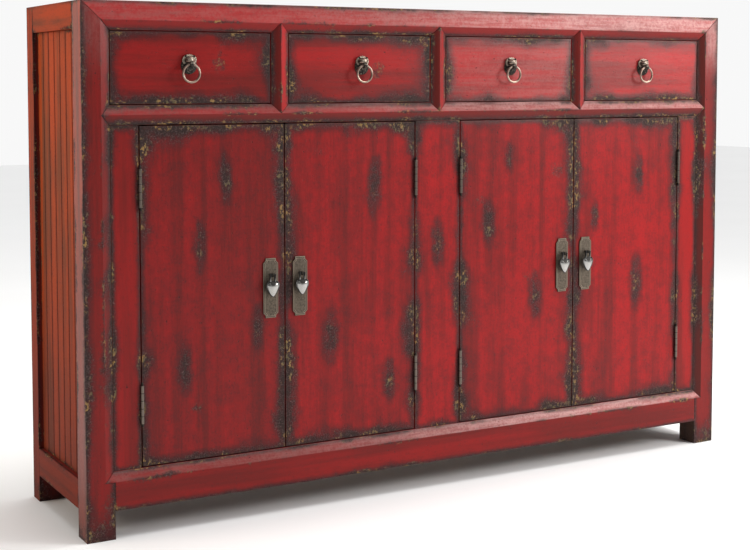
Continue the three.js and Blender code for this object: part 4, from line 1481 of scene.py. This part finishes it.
class SIDEBOARD_OT_hinges(SideboardPiece, bpy.types.Operator):
    """Eight hinges: a turned barrel with ball ends, and the leaf behind it"""

    bl_idname = "sideboard.hinges"
    bl_label = "Hinges"

    def make(self, scene):
        for number in NUMBERS:
            for place in HINGE_PLACES:
                node = f"hinge_{number}_{place}"
                low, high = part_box(node)
                radius = (high.x - low.x) / 2
                axis = Vector(((low.x + high.x) / 2, low.y + radius, (low.z + high.z) / 2))
                settings = {
                    "Length": high.z - low.z,
                    "Radius": radius,
                    "Knuckles": scene.sideboard_metal.knuckles,
                    "Material": finish("hinge"),
                }
                barrel = grown("barrel", geometry_tree("hinge_barrel", barrel_tree), settings)
                barrel.transform(Matrix.Translation(axis))
                shape = bmesh.new()
                shape.from_mesh(barrel)
                leaf = self.leaf(node, axis, radius)
                mesh = mesh_from(joined([shape, leaf]), node + "_barrel")
                mark_patina_and_shade(mesh, lambda point: self.hollow(point - axis, radius))
                object_from(node + "_barrel", mesh, "hinge", "carcass", "hinge_metal", node)

    @staticmethod
    def leaf(node, axis, radius):
        """The leaf, where the solid's own leaf runs back from the barrel."""
        points = [v.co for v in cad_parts[node].data.vertices if v.co.y > axis.y + radius * 1.2]
        low = Vector(min(p[i] for p in points) for i in range(3))
        high = Vector(max(p[i] for p in points) for i in range(3))
        low.y = axis.y
        return block_shape(low, high, 0.15 * MM)

    @staticmethod
    def hollow(point, radius):
        """Dark in the grooves between knuckles."""
        return 0.9 if math.hypot(point.x, point.y) < radius * 0.93 else 0.1


class SIDEBOARD_OT_stage(SideboardPiece, bpy.types.Operator):
    """Pale floor, soft studio lights and the camera"""

    bl_idname = "sideboard.stage"
    bl_label = "Stage"

    def make(self, scene):
        settings = scene.sideboard_stage
        self.floor()
        warm, neutral = (1, 0.84, 0.66), (1, 0.99, 0.97)
        self.light("key", (2.1, -2.0, 1.55), (0.3, 0, 0.7), 1.1, settings.key_power, neutral)
        self.light("top", (1.35, -0.25, 2.9), (0, -0.1, 0.8), 1.3, settings.top_power, neutral)
        self.sky()
        self.light("side", (-3.6, 0.6, 1.9), (0, 0, 0.5), 1.4, settings.side_power, warm)
        scene.world = self.room()
        scene.camera = self.camera(settings.lens)
        scene.view_settings.view_transform = "Standard"

    @staticmethod
    def camera(lens):
        """The camera stands in front and to the left, and looks slightly down."""
        data = bpy.data.cameras.new("front_left_view")
        data.lens = lens
        data.sensor_width = 36
        data.shift_y = -0.1373
        camera = new_object("front_left_view", data)
        camera.location = (-1.6115, -2.7288, 0.8770)
        camera.rotation_euler = (math.radians(86.327), 0, math.radians(-29.588))
        return camera

    @staticmethod
    def room():
        """A white wall behind the object, and a dimmer room in front of it."""
        world = bpy.data.worlds.new("studio")
        world.use_nodes = True
        world.node_tree.nodes.clear()
        tree = Tree(world.node_tree)
        direction = tree.add("ShaderNodeTexCoord", {}, {}, "Generated")
        behind = tree.vector("DOT_PRODUCT", direction, BACKWARD, "Value")
        strength = 0.26 + tree.step(behind, -0.2, 0.6) * 0.68
        light = tree.add("ShaderNodeBackground", {}, {"Color": (1, 1, 1, 1), "Strength": strength})
        tree.add("ShaderNodeOutputWorld", {}, {"Surface": light})
        return world

    @staticmethod
    def floor():
        """One wide sheet, which the object stands on."""
        shape = bmesh.new()
        bmesh.ops.create_grid(shape, x_segments=8, y_segments=8, size=12)
        mesh = bpy.data.meshes.new("floor")
        shape.to_mesh(mesh)
        shape.free()
        mesh.materials.append(floor_material())
        sheet = new_object("floor", mesh)

    @staticmethod
    def sky():
        """A soft light straight down, which keeps the floor pale out to the wall."""
        data = bpy.data.lights.new("sky", "SUN")
        data.energy = 1.35
        data.angle = math.radians(50)
        lamp = new_object("sky", data)
        lamp.rotation_euler = (math.radians(8), math.radians(12), 0)

    @staticmethod
    def light(name, place, target, size, power, colour):
        """A soft round light that looks at a target."""
        data = bpy.data.lights.new(name, "AREA")
        data.shape = "DISK"
        data.size = size
        data.energy = power
        data.color = colour
        lamp = new_object(name, data)
        lamp.location = place
        lamp.rotation_euler = (Vector(target) - Vector(place)).to_track_quat("-Z", "Y").to_euler()
        lamp.visible_camera = False


PIECES = (
    SIDEBOARD_OT_stage,
    SIDEBOARD_OT_case_frame,
    SIDEBOARD_OT_sides,
    SIDEBOARD_OT_top,
    SIDEBOARD_OT_inside,
    SIDEBOARD_OT_back,
    SIDEBOARD_OT_doors,
    SIDEBOARD_OT_drawer_fronts,
    SIDEBOARD_OT_drawer_trays,
    SIDEBOARD_OT_masks,
    SIDEBOARD_OT_rings,
    SIDEBOARD_OT_door_plates,
    SIDEBOARD_OT_drop_pulls,
    SIDEBOARD_OT_hinges,
)


class SIDEBOARD_PT_pieces(bpy.types.Panel):
    """Lists the pieces of the sideboard"""

    bl_idname = "SIDEBOARD_PT_pieces"
    bl_label = "Sideboard"
    bl_space_type = "VIEW_3D"
    bl_region_type = "UI"
    bl_category = "Sideboard"

    def draw(self, context):
        scene = context.scene
        for settings in (scene.sideboard_wood, scene.sideboard_metal, scene.sideboard_stage):
            box = self.layout.box()
            for name in settings.__annotations__:
                box.prop(settings, name)
        for piece in PIECES:
            self.layout.operator(piece.bl_idname)


SETTINGS = {
    "sideboard_wood": WoodSettings,
    "sideboard_metal": MetalSettings,
    "sideboard_stage": StageSettings,
}


def register():
    for kind in (*SETTINGS.values(), *PIECES, SIDEBOARD_PT_pieces):
        bpy.utils.register_class(kind)
    for name, kind in SETTINGS.items():
        setattr(bpy.types.Scene, name, bpy.props.PointerProperty(type=kind))


def unregister():
    for name in SETTINGS:
        delattr(bpy.types.Scene, name)
    for kind in reversed((*SETTINGS.values(), *PIECES, SIDEBOARD_PT_pieces)):
        bpy.utils.unregister_class(kind)


def main():
    register()
    for piece in PIECES:
        getattr(bpy.ops.sideboard, piece.bl_idname.split(".")[1])()


if __name__ == "__main__":
    main()
